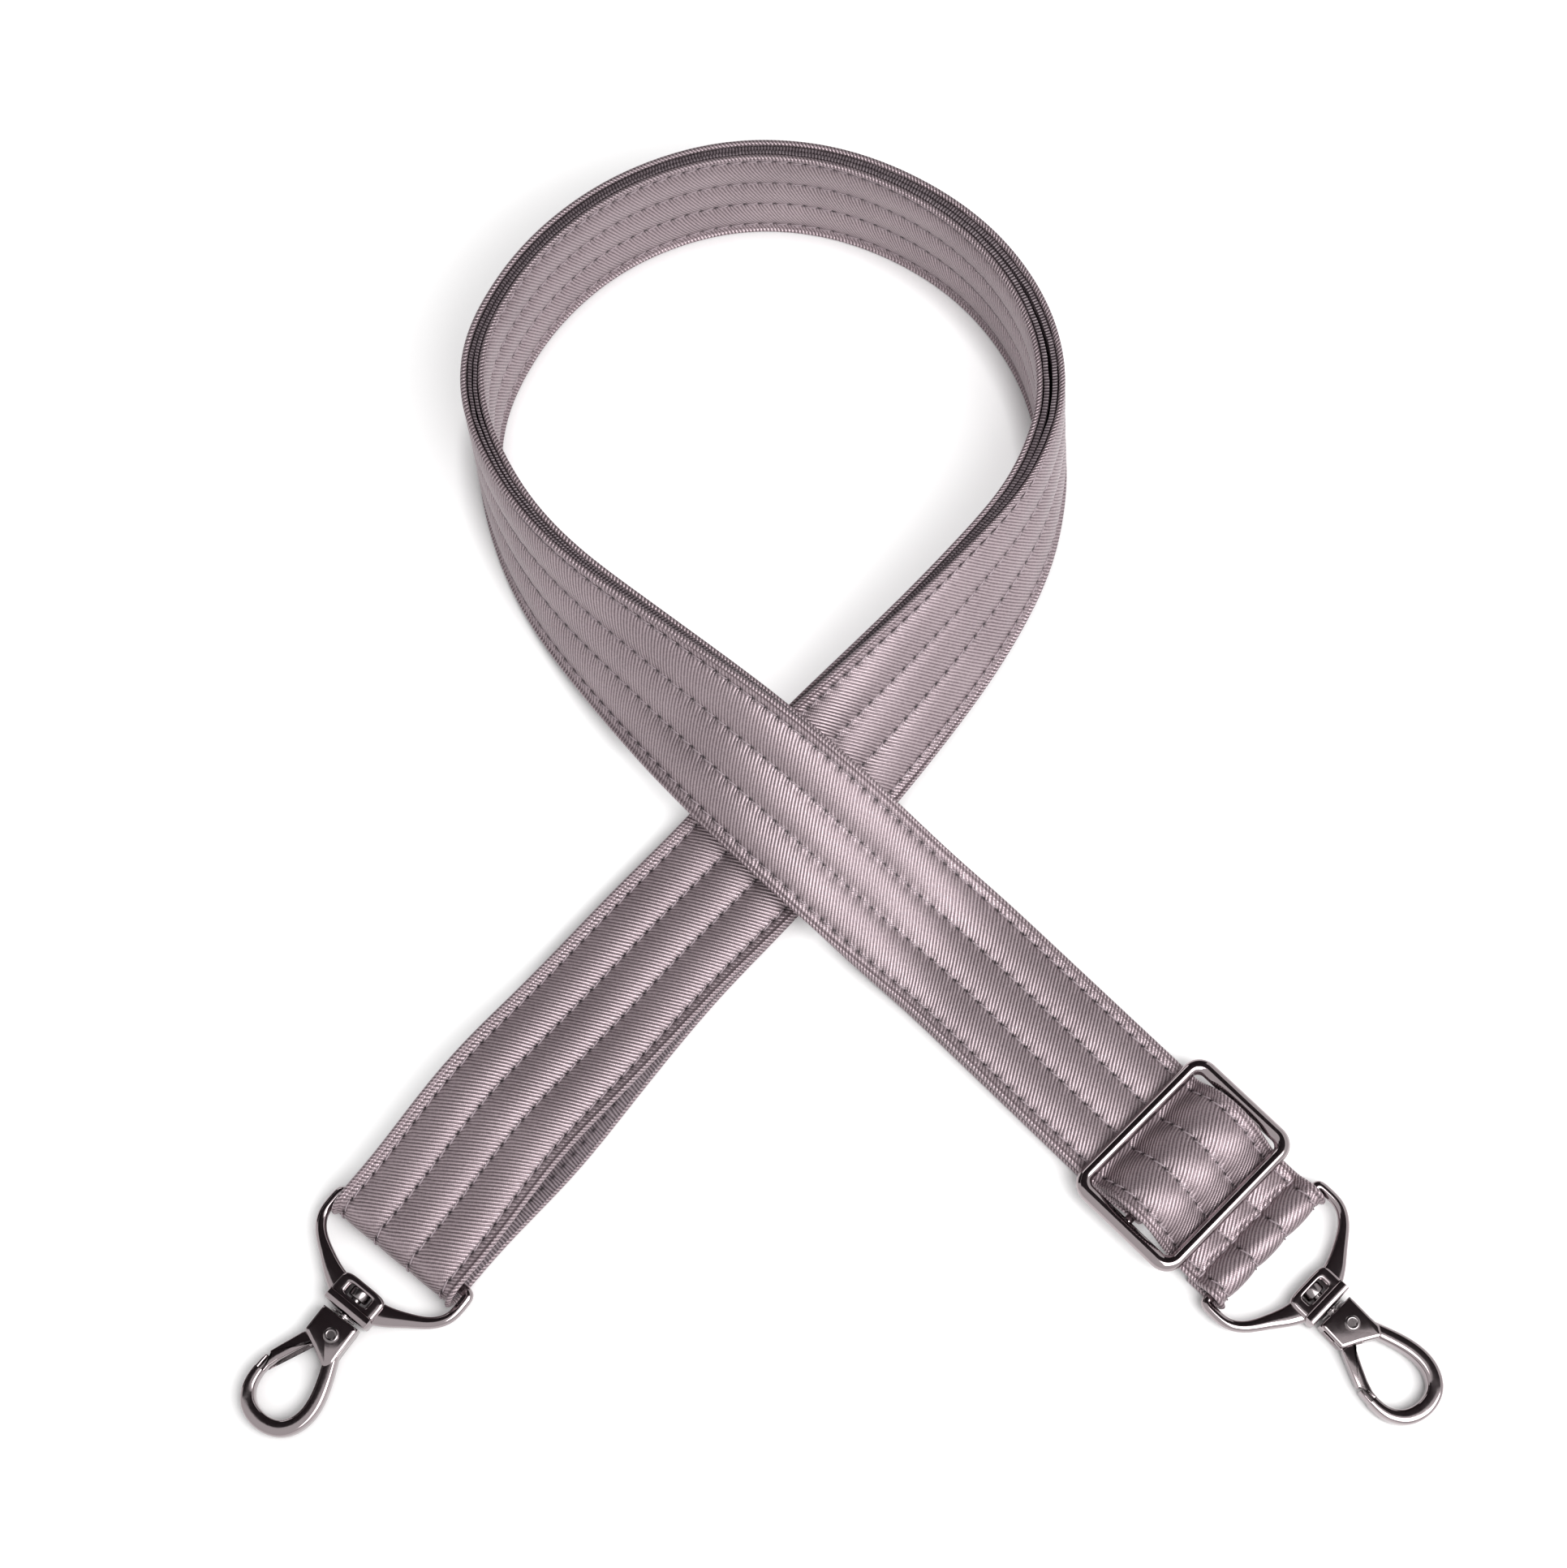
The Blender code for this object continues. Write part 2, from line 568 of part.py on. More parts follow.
def swept_bar(name, route, widths, thicknesses, closed, look, parent):
    """A rounded bar along a flat route, whose width can change."""
    mesh_data = bmesh.new()
    count = len(route)
    rings = []
    for k in range(count):
        before = route[(k - 1) % count] if closed or k > 0 else route[k]
        after = route[(k + 1) % count] if closed or k < count - 1 else route[k]
        way = (after - before) / np.linalg.norm(after - before)
        side = np.array((way[1], -way[0]))
        ring = []
        for a, b in rounded_section(widths[k], thicknesses[k]):
            spot = route[k] + side * a
            ring.append(mesh_data.verts.new((spot[0], spot[1], b)))
        rings.append(ring)
    spans = count if closed else count - 1
    for k in range(spans):
        one = rings[k]
        two = rings[(k + 1) % count]
        for m in range(8):
            n = (m + 1) % 8
            mesh_data.faces.new((one[m], one[n], two[n], two[m]))
    if not closed:
        mesh_data.faces.new(rings[0])
        mesh_data.faces.new(list(reversed(rings[-1])))
    return add_object(name, mesh_data, look, parent)


def build_cross_seam():
    """The stitches across the tail, as one thread that dips between them."""
    height = 2 * LAYER + 3 * CLEARANCE + SEAM_THREAD / 2
    spot = plan_place(SLIDER_PLACE_SHARES) - plan_direction(SLIDER_HEADING) * SLIDER_TO_SEAM
    count = int(STRAP_WIDTH / SEAM_PITCH)
    route = []
    sizes = []
    for k in range(count):
        middle = (k - (count - 1) / 2) * SEAM_PITCH
        for share, size in SEAM_STITCH_SHARES:
            route.append(np.array((0.0, middle + share * SEAM_PITCH)))
            sizes.append(size * SEAM_THREAD)
    seam = swept_bar("cross_seam_thread", route, sizes, sizes, False, THREAD, None)
    turn = Matrix.Rotation(radians(SLIDER_HEADING), 4, "Z")
    seam.matrix_local = Matrix.Translation(spot + UP * height) @ turn


def prism(name, outline, low, high, look, parent, bevel=0.0):
    """A flat plate with the given outline, between two heights."""
    mesh_data = bmesh.new()
    bottom = [mesh_data.verts.new((x, y, low)) for x, y in outline]
    face = mesh_data.faces.new(bottom)
    pushed = bmesh.ops.extrude_face_region(mesh_data, geom=[face])
    lifted = [item for item in pushed["geom"] if isinstance(item, bmesh.types.BMVert)]
    bmesh.ops.translate(mesh_data, vec=(0, 0, high - low), verts=lifted)
    thing = add_object(name, mesh_data, look, parent)
    if bevel:
        step = thing.modifiers.new("Edges", "BEVEL")
        step.width = bevel
        step.segments = 1
        step.limit_method = "ANGLE"
        step.angle_limit = radians(40.0)
    return thing


def turned(name, profile, axis_matrix, look, parent, sides=ROUND_SIDES):
    """A round piece turned about local Z: profile rows are (radius, height), closed on the axis."""
    mesh_data = bmesh.new()
    loops = []
    for radius, height in profile:
        loop = []
        for k in range(sides):
            angle = 2 * pi * k / sides
            loop.append(mesh_data.verts.new((radius * cos(angle), radius * sin(angle), height)))
        loops.append(loop)
    closed = profile[0][1] == profile[-1][1] and profile[0][0] != profile[-1][0]
    pairs = list(zip(loops[:-1], loops[1:]))
    if closed:
        pairs.append((loops[-1], loops[0]))
    for one, two in pairs:
        for k in range(sides):
            n = (k + 1) % sides
            mesh_data.faces.new((one[k], one[n], two[n], two[k]))
    if not closed:
        mesh_data.faces.new(list(reversed(loops[0])))
        mesh_data.faces.new(loops[-1])
    bmesh.ops.transform(mesh_data, matrix=axis_matrix, verts=mesh_data.verts)
    return add_object(name, mesh_data, look, parent)


ALONG_CHAIN = Matrix.Rotation(pi / 2, 4, "Y")


def build_slider():
    """Rounded frame and its round centre bar, about the slider's own empty."""
    height = UP * SLIDER_HEIGHT
    place = Matrix.Translation(plan_place(SLIDER_PLACE_SHARES) + height)
    joint = add_empty("slider_joint", place @ Matrix.Rotation(radians(SLIDER_HEADING), 4, "Z"))
    half_run = SLIDER_DEPTH / 2 - BAR_RADIUS
    half_side = SLIDER_LENGTH / 2 - BAR_RADIUS
    radius = SLIDER_CORNER_RADIUS - BAR_RADIUS
    route = []
    for centre, first in (
        ((half_run - radius, half_side - radius), 0), ((-half_run + radius, half_side - radius), 90),
        ((-half_run + radius, -half_side + radius), 180), ((half_run - radius, -half_side + radius), 270),
    ):
        for degrees in np.linspace(first, first + 90, CORNER_STEPS):
            angle = radians(degrees)
            route.append(np.array((centre[0] + radius * cos(angle), centre[1] + radius * sin(angle))))
    sizes = [SLIDER_BAR] * len(route)
    swept_bar("slider_frame", route, sizes, sizes, True, GUNMETAL, joint)
    reach = half_side - BAR_RADIUS - CLEARANCE
    profile = ((CENTRE_BAR_RADIUS, -reach), (CENTRE_BAR_RADIUS, reach))
    turned("slider_centre_bar", profile, Matrix.Rotation(pi / 2, 4, "X"), GUNMETAL, joint)


def build_ring(side, joint):
    """Ring, arms and swivel base in one casting, with a pocket and a bore for the swivel pin."""
    half = [(x * RING_REACH, y * RING_HALF, w * RING_ARM_WIDTH) for x, y, w in RING_ARM_SHARES]
    mirrored = [(x, -y, w) for x, y, w in reversed(half[1:-1])]
    loop = half + mirrored
    rows = loop + loop[:3]
    dense = spline(rows, 2)[:-1]
    route = [row[:2] for row in dense]
    widths = [max(row[2], RING_WIRE) for row in dense]
    sizes = [RING_WIRE] * len(route)
    ring = swept_bar(side + "_ring", route, widths, sizes, True, GUNMETAL, joint)
    start = RING_REACH - BASE_LENGTH
    w = BASE_WIDTH / 2
    cut = BASE_EDGE_BEVEL
    outline = ((start, -w + cut), (start + cut, -w), (RING_REACH - cut, -w), (RING_REACH, -w + cut),
               (RING_REACH, w - cut), (RING_REACH - cut, w), (start + cut, w), (start, w - cut))
    t = BASE_THICKNESS / 2
    base = prism(side + "_base_form", outline, -t, t, GUNMETAL, joint, BASE_EDGE_BEVEL)
    add_boolean(ring, base, "UNION")
    low = start + POCKET_START
    high = low + POCKET_LENGTH
    p = POCKET_WIDTH / 2
    over = BASE_THICKNESS
    pocket = prism(side + "_pocket_form", ((low, -p), (high, -p), (high, p), (low, p)), -over, over,
                   GUNMETAL, joint)
    add_boolean(ring, pocket, "DIFFERENCE")
    bore = turned(side + "_bore_form", ((PIN_RADIUS + CLEARANCE, high - CLEARANCE),
                                        (PIN_RADIUS + CLEARANCE, RING_REACH + over)),
                  ALONG_CHAIN, GUNMETAL, joint)
    add_boolean(ring, bore, "DIFFERENCE")


def build_swivel(side, joint):
    """Slotted pin and its washer, on the shank's axis. The joint's origin is at the shoulder."""
    wall = RING_REACH - BASE_LENGTH + POCKET_START + POCKET_LENGTH
    head_end = wall - CLEARANCE - SHOULDER
    head_start = head_end - PIN_HEAD_LENGTH
    profile = ((PIN_HEAD_RADIUS, head_start), (PIN_HEAD_RADIUS, head_end), (PIN_RADIUS, head_end),
               (PIN_RADIUS, PIN_TAIL))
    pin = turned(side + "_swivel_pin", profile, ALONG_CHAIN, STEEL, joint)
    slot = SCREW_SLOT_WIDTH / 2
    outline = ((head_start - SCREW_SLOT_DEPTH, -PIN_HEAD_RADIUS * 2),
               (head_start + SCREW_SLOT_DEPTH, -PIN_HEAD_RADIUS * 2),
               (head_start + SCREW_SLOT_DEPTH, PIN_HEAD_RADIUS * 2),
               (head_start - SCREW_SLOT_DEPTH, PIN_HEAD_RADIUS * 2))
    cutter = prism(side + "_slot_form", outline, -slot, slot, STEEL, joint)
    add_boolean(pin, cutter, "DIFFERENCE")
    start = WASHER_START - SHOULDER
    end = start + WASHER_THICKNESS
    inner = PIN_RADIUS + CLEARANCE
    profile = ((inner, start), (inner, end), (WASHER_RADIUS, end), (WASHER_RADIUS, start))
    turned(side + "_swivel_washer", profile, ALONG_CHAIN, STEEL, joint)


def hook_point(shares):
    return np.array((shares[0] * HOOK_LENGTH, shares[1] * HOOK_WIDTH / 2))


def about_rivet(radius, degrees):
    angle = radians(degrees)
    return (RIVET_REACH + radius * cos(angle), RIVET_OFFSET + radius * sin(angle))


def tongue_reach():
    """Distances from the rivet to the gate's shoulder and to its tongue's end."""
    shoulder = np.linalg.norm(hook_point(GATE_SHOULDER_SHARES) - np.array((RIVET_REACH, RIVET_OFFSET)))
    return shoulder, shoulder + NOSE_LAP


def circle_cut(radius, y):
    """The point at height y on a circle about the rivet, on the side towards the nose."""
    rise = y - RIVET_OFFSET
    return (RIVET_REACH + (radius**2 - rise**2) ** 0.5, y)


def build_hook_body(side, joint):
    """Body, arm and nose in one casting, slotted for the gate and bored for the pin and rivet."""
    dense = spline([(*hook_point(row), row[2] * HOOK_ARM_WIDTH) for row in HOOK_ARM_SHARES], 2)
    route = [row[:2] for row in dense]
    sizes = [HOOK_THICKNESS * ARM_THICKNESS_SHARE] * len(route)
    hook = swept_bar(side + "_hook_body", route, [row[2] for row in dense], sizes, False, GUNMETAL, joint)
    t = HOOK_THICKNESS / 2
    outline = [tuple(hook_point(row)) for row in BODY_SHARES]
    body = prism(side + "_body_form", outline, -t, t, GUNMETAL, joint, BASE_EDGE_BEVEL)
    add_boolean(hook, body, "UNION")
    slot = GATE_SLOT_THICKNESS / 2
    over = SHOULDER_WIDTH
    room = GATE_ROOT_RADIUS + CLEARANCE
    outline = [about_rivet(room, degrees) for degrees in np.linspace(180, 15, ROUND_SIDES // 2)]
    outline += [tuple(hook_point(row)) for row in GATE_ROOM_SHARES]
    outline += [(outline[-1][0], -over), (RIVET_REACH - room, -over)]
    gate_room = prism(side + "_gate_room_form", outline, -slot, slot, GUNMETAL, joint)
    add_boolean(hook, gate_room, "DIFFERENCE")
    shoulder, tongue = tongue_reach()
    lip = NOSE_LIP_SHARE * HOOK_WIDTH / 2
    end = circle_cut(tongue + CLEARANCE, lip)
    start, above = hook_point(NOSE_NOTCH_SHARES)
    notch = [(start, lip), end, circle_cut(tongue + CLEARANCE, above), (start, above)]
    nose_notch = prism(side + "_nose_notch_form", notch, -over, over, GUNMETAL, joint)
    add_boolean(hook, nose_notch, "DIFFERENCE")
    start, below = hook_point(NOSE_TRIM_SHARES)
    near = circle_cut(shoulder + CLEARANCE, lip + CLEARANCE)
    far = circle_cut(shoulder + CLEARANCE, below)
    trim = [(start, lip + CLEARANCE), (start, below), far, near]
    nose_trim = prism(side + "_nose_trim_form", trim, -over, over, GUNMETAL, joint)
    add_boolean(hook, nose_trim, "DIFFERENCE")
    bore = turned(side + "_pin_bore_form", ((PIN_RADIUS + CLEARANCE, -over),
                                            (PIN_RADIUS + CLEARANCE, PIN_TAIL + CLEARANCE)),
                  ALONG_CHAIN, GUNMETAL, joint)
    add_boolean(hook, bore, "DIFFERENCE")
    hole = turned(side + "_rivet_bore_form", ((RIVET_RADIUS + CLEARANCE, -over),
                                              (RIVET_RADIUS + CLEARANCE, over)),
                  Matrix.Translation((RIVET_REACH, RIVET_OFFSET, 0)), GUNMETAL, joint)
    add_boolean(hook, hole, "DIFFERENCE")


def build_gate(side, joint):
    """The sprung gate, about its rivet: a lever with a thin root and a lapped tongue."""
    shoulder, tongue = tongue_reach()
    pivot = np.array((RIVET_REACH, RIVET_OFFSET))
    inner = [hook_point(row) for row in GATE_INNER_SHARES]
    outer = [hook_point(row) for row in GATE_OUTER_SHARES]
    half = HOOK_WIDTH / 2
    outline = [hook_point(HEEL_SHARES[0]), *inner,
               circle_cut(tongue, TONGUE_INNER_SHARE * half), circle_cut(tongue, TONGUE_OUTER_SHARE * half),
               circle_cut(shoulder, TONGUE_OUTER_SHARE * half), circle_cut(shoulder, GATE_BACK_SHARE * half),
               *outer, hook_point(HEEL_SHARES[1])]
    outline = [tuple(np.array(point) - pivot) for point in outline]
    t = GATE_THICKNESS / 2
    gate = prism(side + "_gate", outline[::-1], -t, t, GUNMETAL, joint)
    turns = np.arange(ROUND_SIDES) * 360.0 / ROUND_SIDES
    root = [tuple(np.array(about_rivet(GATE_ROOT_RADIUS, degrees)) - pivot) for degrees in turns]
    root_form = prism(side + "_gate_root_form", root, -t, -t + GATE_ROOT_THICKNESS, GUNMETAL, joint)
    web = [tuple(hook_point(row) - pivot) for row in GATE_WEB_SHARES]
    web_form = prism(side + "_gate_web_form", web, -t, -t + GATE_ROOT_THICKNESS, GUNMETAL, joint)
    add_boolean(gate, root_form, "UNION")
    add_boolean(gate, web_form, "UNION")
    hole = turned(side + "_gate_bore_form", ((RIVET_RADIUS + CLEARANCE, -HOOK_THICKNESS),
                                             (RIVET_RADIUS + CLEARANCE, HOOK_THICKNESS)),
                  Matrix(), GUNMETAL, joint)
    add_boolean(gate, hole, "DIFFERENCE")


def build_rivet_and_spring(side, joint):
    """The rivet through the body, and the one-turn torsion spring round it."""
    seat = HOOK_THICKNESS / 2 + CLEARANCE
    top = seat + RIVET_HEAD_THICKNESS
    crown = RIVET_HEAD_RADIUS * RIVET_CROWN_SHARE
    profile = ((crown, -top), (RIVET_HEAD_RADIUS, -seat), (RIVET_RADIUS, -seat),
               (RIVET_RADIUS, seat), (RIVET_HEAD_RADIUS, seat), (crown, top))
    place = Matrix.Translation((RIVET_REACH, RIVET_OFFSET, 0))
    turned(side + "_gate_rivet", profile, place, STEEL, joint)
    low = -GATE_THICKNESS / 2 + GATE_ROOT_THICKNESS + CLEARANCE + SPRING_WIRE_RADIUS
    curve = bpy.data.curves.new(side + "_gate_spring", "CURVE")
    curve.dimensions = "3D"
    curve.bevel_depth = SPRING_WIRE_RADIUS
    curve.bevel_resolution = 1
    curve.use_fill_caps = True
    line = curve.splines.new("POLY")
    line.points.add(SPRING_STEPS - 1)
    for k, degrees in enumerate(np.linspace(SPRING_START, SPRING_END, SPRING_STEPS)):
        x, y = about_rivet(SPRING_RADIUS, degrees)
        line.points[k].co = (x, y, low, 1)
    curve.materials.append(material(side + "_gate_spring_finish", STEEL))
    spring = bpy.data.objects.new(side + "_gate_spring", curve)
    bpy.context.collection.objects.link(spring)
    spring.parent = joint


def build_hook_set(side, origin, heading, skew):
    """One ring with its swivel hook, laid from the strap's fold down to the table."""
    place = Matrix.Translation(origin + UP * RING_HEIGHT) @ Matrix.Rotation(radians(heading), 4, "Z")
    ring_joint = add_empty(side + "_ring_joint", place @ Matrix.Rotation(CHAIN_PITCH, 4, "Y"))
    wall = RING_REACH - (BASE_LENGTH - POCKET_START - POCKET_LENGTH) / 2
    turn = Matrix.Translation((wall, 0, 0)) @ Matrix.Rotation(radians(skew), 4, "Z")
    shank = turn @ Matrix.Translation((SHOULDER - wall, 0, 0))
    swivel_joint = add_empty(side + "_swivel_joint", shank, ring_joint)
    pivot = Matrix.Translation((RIVET_REACH, RIVET_OFFSET, 0))
    gate_joint = add_empty(side + "_gate_joint", pivot, swivel_joint)
    build_ring(side, ring_joint)
    build_swivel(side, swivel_joint)
    build_hook_body(side, swivel_joint)
    build_rivet_and_spring(side, swivel_joint)
    build_gate(side, gate_joint)


def centre_on_base():
    """Move everything so that the origin is under the middle of the bounding box, on the table."""
    bpy.context.view_layer.update()
    graph = bpy.context.evaluated_depsgraph_get()
    corners = []
    for thing in bpy.context.collection.objects:
        if thing.type == "EMPTY" or thing.hide_render:
            continue
        shape = thing.evaluated_get(graph)
        mesh = shape.to_mesh()
        corners += [tuple(shape.matrix_world @ vertex.co) for vertex in mesh.vertices]
        shape.to_mesh_clear()
    corners = np.array(corners)
    low = corners.min(axis=0)
    high = corners.max(axis=0)
    shift = Vector((-(low[0] + high[0]) / 2, -(low[1] + high[1]) / 2, -low[2]))
    for thing in bpy.context.collection.objects:
        if thing.parent is None:
            thing.location += shift


def main():
    clear_scene()
    build_band()
    build_left_fold()
    build_slider_stretches()
    build_end_loop()
    build_tail()
    build_cross_seam()
    build_slider()
    slider = plan_place(SLIDER_PLACE_SHARES)
    right = slider - plan_direction(SLIDER_HEADING) * SLIDER_TO_RING
    build_hook_set("right", right, RIGHT_HOOK_HEADING, RIGHT_SWIVEL_SKEW)
    left = plan_place(LEFT_RING_PLACE_SHARES)
    build_hook_set("left", left, LEFT_HOOK_HEADING, LEFT_SWIVEL_SKEW)
    centre_on_base()


main()
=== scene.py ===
# %% [markdown]
# # A quilted satin bag strap with two swivel snap hooks
# A detachable strap lies on a table in one crossed loop. It is a long padded band, folded double, with
# a metal slider and a snap hook at each end. This lesson dresses the imported CAD frame with the looks
# of the real thing: quilted satin twill with rows of stitching, a woven lining, and polished dark
# nickel hardware. We start with the frame, because the hardware, the end loop and the cross seam made
# below ride on its bodies.

# %% Load the frame
import json
import bpy
import bmesh
import numpy as np
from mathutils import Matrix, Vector

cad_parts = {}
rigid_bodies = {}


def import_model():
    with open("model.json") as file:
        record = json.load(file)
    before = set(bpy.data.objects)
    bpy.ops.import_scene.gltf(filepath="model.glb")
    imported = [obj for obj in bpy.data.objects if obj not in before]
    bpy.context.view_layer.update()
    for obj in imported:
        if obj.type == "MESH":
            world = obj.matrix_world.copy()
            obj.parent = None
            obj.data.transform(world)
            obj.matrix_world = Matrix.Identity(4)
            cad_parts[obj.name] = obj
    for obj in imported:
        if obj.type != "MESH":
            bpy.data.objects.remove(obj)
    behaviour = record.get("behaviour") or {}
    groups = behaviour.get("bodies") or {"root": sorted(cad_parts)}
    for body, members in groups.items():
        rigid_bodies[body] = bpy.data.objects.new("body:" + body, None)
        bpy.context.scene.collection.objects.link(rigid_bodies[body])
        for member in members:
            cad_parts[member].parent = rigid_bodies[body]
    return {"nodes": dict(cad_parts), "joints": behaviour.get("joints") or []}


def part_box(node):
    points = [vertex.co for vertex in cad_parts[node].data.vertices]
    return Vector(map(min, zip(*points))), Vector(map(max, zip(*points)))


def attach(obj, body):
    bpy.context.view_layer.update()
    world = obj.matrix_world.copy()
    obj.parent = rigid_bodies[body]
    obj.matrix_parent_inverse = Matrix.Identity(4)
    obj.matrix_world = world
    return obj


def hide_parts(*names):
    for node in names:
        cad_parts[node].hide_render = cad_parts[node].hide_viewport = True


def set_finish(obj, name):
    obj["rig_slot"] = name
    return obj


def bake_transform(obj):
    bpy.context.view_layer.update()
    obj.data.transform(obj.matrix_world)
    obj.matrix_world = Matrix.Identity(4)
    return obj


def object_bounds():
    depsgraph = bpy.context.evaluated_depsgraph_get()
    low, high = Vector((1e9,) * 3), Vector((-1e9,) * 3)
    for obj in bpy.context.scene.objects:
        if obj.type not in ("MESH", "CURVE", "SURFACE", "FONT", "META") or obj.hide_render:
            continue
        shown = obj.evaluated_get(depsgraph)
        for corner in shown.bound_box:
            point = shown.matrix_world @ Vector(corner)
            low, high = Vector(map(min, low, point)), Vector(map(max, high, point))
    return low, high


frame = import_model()
cad_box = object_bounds()
MM = 0.001

# %% [markdown]
# ## Small helpers
# A surface is a grid of points worked out by numpy and handed to Blender in one go. The grid may close
# on itself in either direction, and open ends get a cap, so that each piece is a closed solid.
# Materials are node trees. One function adds a node with its settings and its links, and one turns a
# colour as written on a paint chart (sRGB) into the linear light that the shader works in.

# %% Mesh from a grid of points
def grid_faces(rows, columns):
    """Quads of a tube: rows along it, columns closed around it."""
    i, j = np.meshgrid(np.arange(rows - 1), np.arange(columns), indexing="ij")
    k = (j + 1) % columns
    quads = np.stack([i * columns + j, i * columns + k, (i + 1) * columns + k, (i + 1) * columns + j], -1)
    return quads.reshape(-1, 4)


def mesh_piece(name, points, faces, material, uv=None, smooth_degrees=40.0):
    """A new object from points, quads (and cap polygons), with an optional UV per point."""
    mesh = bpy.data.meshes.new(name)
    mesh.from_pydata(np.asarray(points).tolist(), [], [list(map(int, f)) for f in faces])
    if uv is not None:
        layer = mesh.uv_layers.new(name="band")
        corner = np.empty(len(mesh.loops), dtype=np.int32)
        mesh.loops.foreach_get("vertex_index", corner)
        layer.data.foreach_set("uv", np.asarray(uv, dtype=np.float32)[corner].ravel())
    mesh.materials.append(material)
    mesh.shade_smooth()
    mesh.set_sharp_from_angle(angle=np.radians(smooth_degrees))
    piece = bpy.data.objects.new(name, mesh)
    bpy.context.collection.objects.link(piece)
    return piece


def outward(piece):
    """Turn all faces outwards and drop doubled points."""
    work = bmesh.new()
    work.from_mesh(piece.data)
    bmesh.ops.remove_doubles(work, verts=work.verts, dist=1e-6)
    bmesh.ops.recalc_face_normals(work, faces=work.faces)
    work.to_mesh(piece.data)
    work.free()
    return piece


def tube_mesh(rings):
    """Points and faces of a closed tube, from an array of rings (rows, columns, 3), with flat end caps."""
    rows, columns, _ = rings.shape
    faces = [tuple(q) for q in grid_faces(rows, columns)]
    faces.append(tuple(range(columns))[::-1])
    faces.append(tuple((rows - 1) * columns + k for k in range(columns)))
    return rings.reshape(-1, 3), faces


def loop_mesh(rings):
    """Points and faces of a tube that also closes on itself lengthwise."""
    rows, columns, _ = rings.shape
    faces = grid_faces(rows + 1, columns) % (rows * columns)
    return rings.reshape(-1, 3), [tuple(q) for q in faces]


print("a tube of 4 rings of 6 points has", len(grid_faces(4, 6)), "quads and 2 caps")

# %% Vectors and paths
def unit(vectors):
    """Each vector divided by its length."""
    return vectors / np.linalg.norm(vectors, axis=-1, keepdims=True)


def distance_along(line):
    """Running length of a line of points, from zero."""
    return np.concatenate([[0.0], np.cumsum(np.linalg.norm(np.diff(line, axis=0), axis=1))])


def read_at(at, along, field):
    """A field of vectors, given at the places along, read at other places."""
    return np.stack([np.interp(at, along, column) for column in field.T], axis=1)


def circle(angles, radius=1.0):
    """Points radius (cos, sin)."""
    return radius * np.stack([np.cos(angles), np.sin(angles)], axis=1)


print("a 3-4-5 step is", distance_along(np.array([[0, 0], [3, 4]]))[-1], "long")

# %% Colours and nodes
def linear(hex_colour):
    """sRGB hex, such as "8C8086", to the linear RGBA a shader reads."""
    values = np.array([int(hex_colour[i:i + 2], 16) for i in (0, 2, 4)]) / 255
    values = np.where(values <= 0.04045, values / 12.92, ((values + 0.055) / 1.055) ** 2.4)
    return (*values.tolist(), 1.0)


def connect(made, sockets):
    """Give a node's sockets, known by name or number, their values: an output is linked, and a number
    or colour is set."""
    for key, value in sockets.items():
        if isinstance(value, bpy.types.NodeSocket):
            made.id_data.links.new(value, made.inputs[key])
        else:
            made.inputs[key].default_value = value


def node(tree, kind, *values, named=None, out=0, **settings):
    """Add one shader node and return its output. values fill its sockets in order, named fills them by
    name or number, and settings are its properties."""
    made = tree.nodes.new("ShaderNode" + kind)
    for key, value in settings.items():
        setattr(made, key, value)
    connect(made, dict(enumerate(values)) | (named or {}))
    return made if out is None else made.outputs[out]


def new_material(name):
    """A material with its Principled shader: returns the material, its tree and the shader."""
    material = bpy.data.materials.new(name)
    material.use_nodes = True
    shader = material.node_tree.nodes["Principled BSDF"]
    return material, material.node_tree, shader


def noise(tree, place, size, detail):
    """Soft noise with patches about size wide."""
    return node(tree, "TexNoise", named={"Vector": place, "Scale": 1 / size, "Detail": detail})


def mixed_colour(tree, share, first, second):
    """The first colour where share is 0, the second where it is 1."""
    return node(tree, "Mix", share, named={6: first, 7: second}, data_type="RGBA", out=2)


def relief(tree, height, depth, strength=1.0):
    """Bump of a height map, depth being how far 0 lies below 1."""
    return node(tree, "Bump", named={"Strength": strength, "Distance": depth, "Height": height})


print("satin mid tone, linear:", [round(v, 3) for v in linear("8E8287")[:3]])

# %% [markdown]
# ## Camera
# The photograph was taken from about 70 degrees above the table with a moderately long lens. The lens
# and the distance were worked out from the slider's right angles and the table's plane. The plan
# coordinates used here have their own origin, and SHIFT carries them to the frame's.

# %% Camera
SLIDER_PLACE = np.array([98.21, -102.20]) * MM
low, high = (np.array(corner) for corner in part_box("slider_frame"))
SHIFT = np.append((low[:2] + high[:2]) / 2 - SLIDER_PLACE, 0.03 * MM)
CAMERA_RISE = np.radians(70.0)
CAMERA_DISTANCE = 0.760
SENSOR = 36.0
FOCAL_PIXELS = 3600.0
PICTURE_PIXELS = 1931.0

camera_data = bpy.data.cameras.new("camera")
camera_data.sensor_fit = "HORIZONTAL"
camera_data.sensor_width = SENSOR
camera_data.lens = SENSOR * FOCAL_PIXELS / PICTURE_PIXELS
camera_data.clip_end = 20.0
camera = bpy.data.objects.new("camera", camera_data)
bpy.context.collection.objects.link(camera)
back = np.array([0.0, -np.cos(CAMERA_RISE), np.sin(CAMERA_RISE)])
camera.location = SHIFT + CAMERA_DISTANCE * back
camera.rotation_euler = (np.pi / 2 - CAMERA_RISE, 0.0, 0.0)
bpy.context.scene.camera = camera
print("camera at", [round(v, 3) for v in camera.location], "lens", round(camera_data.lens, 1))

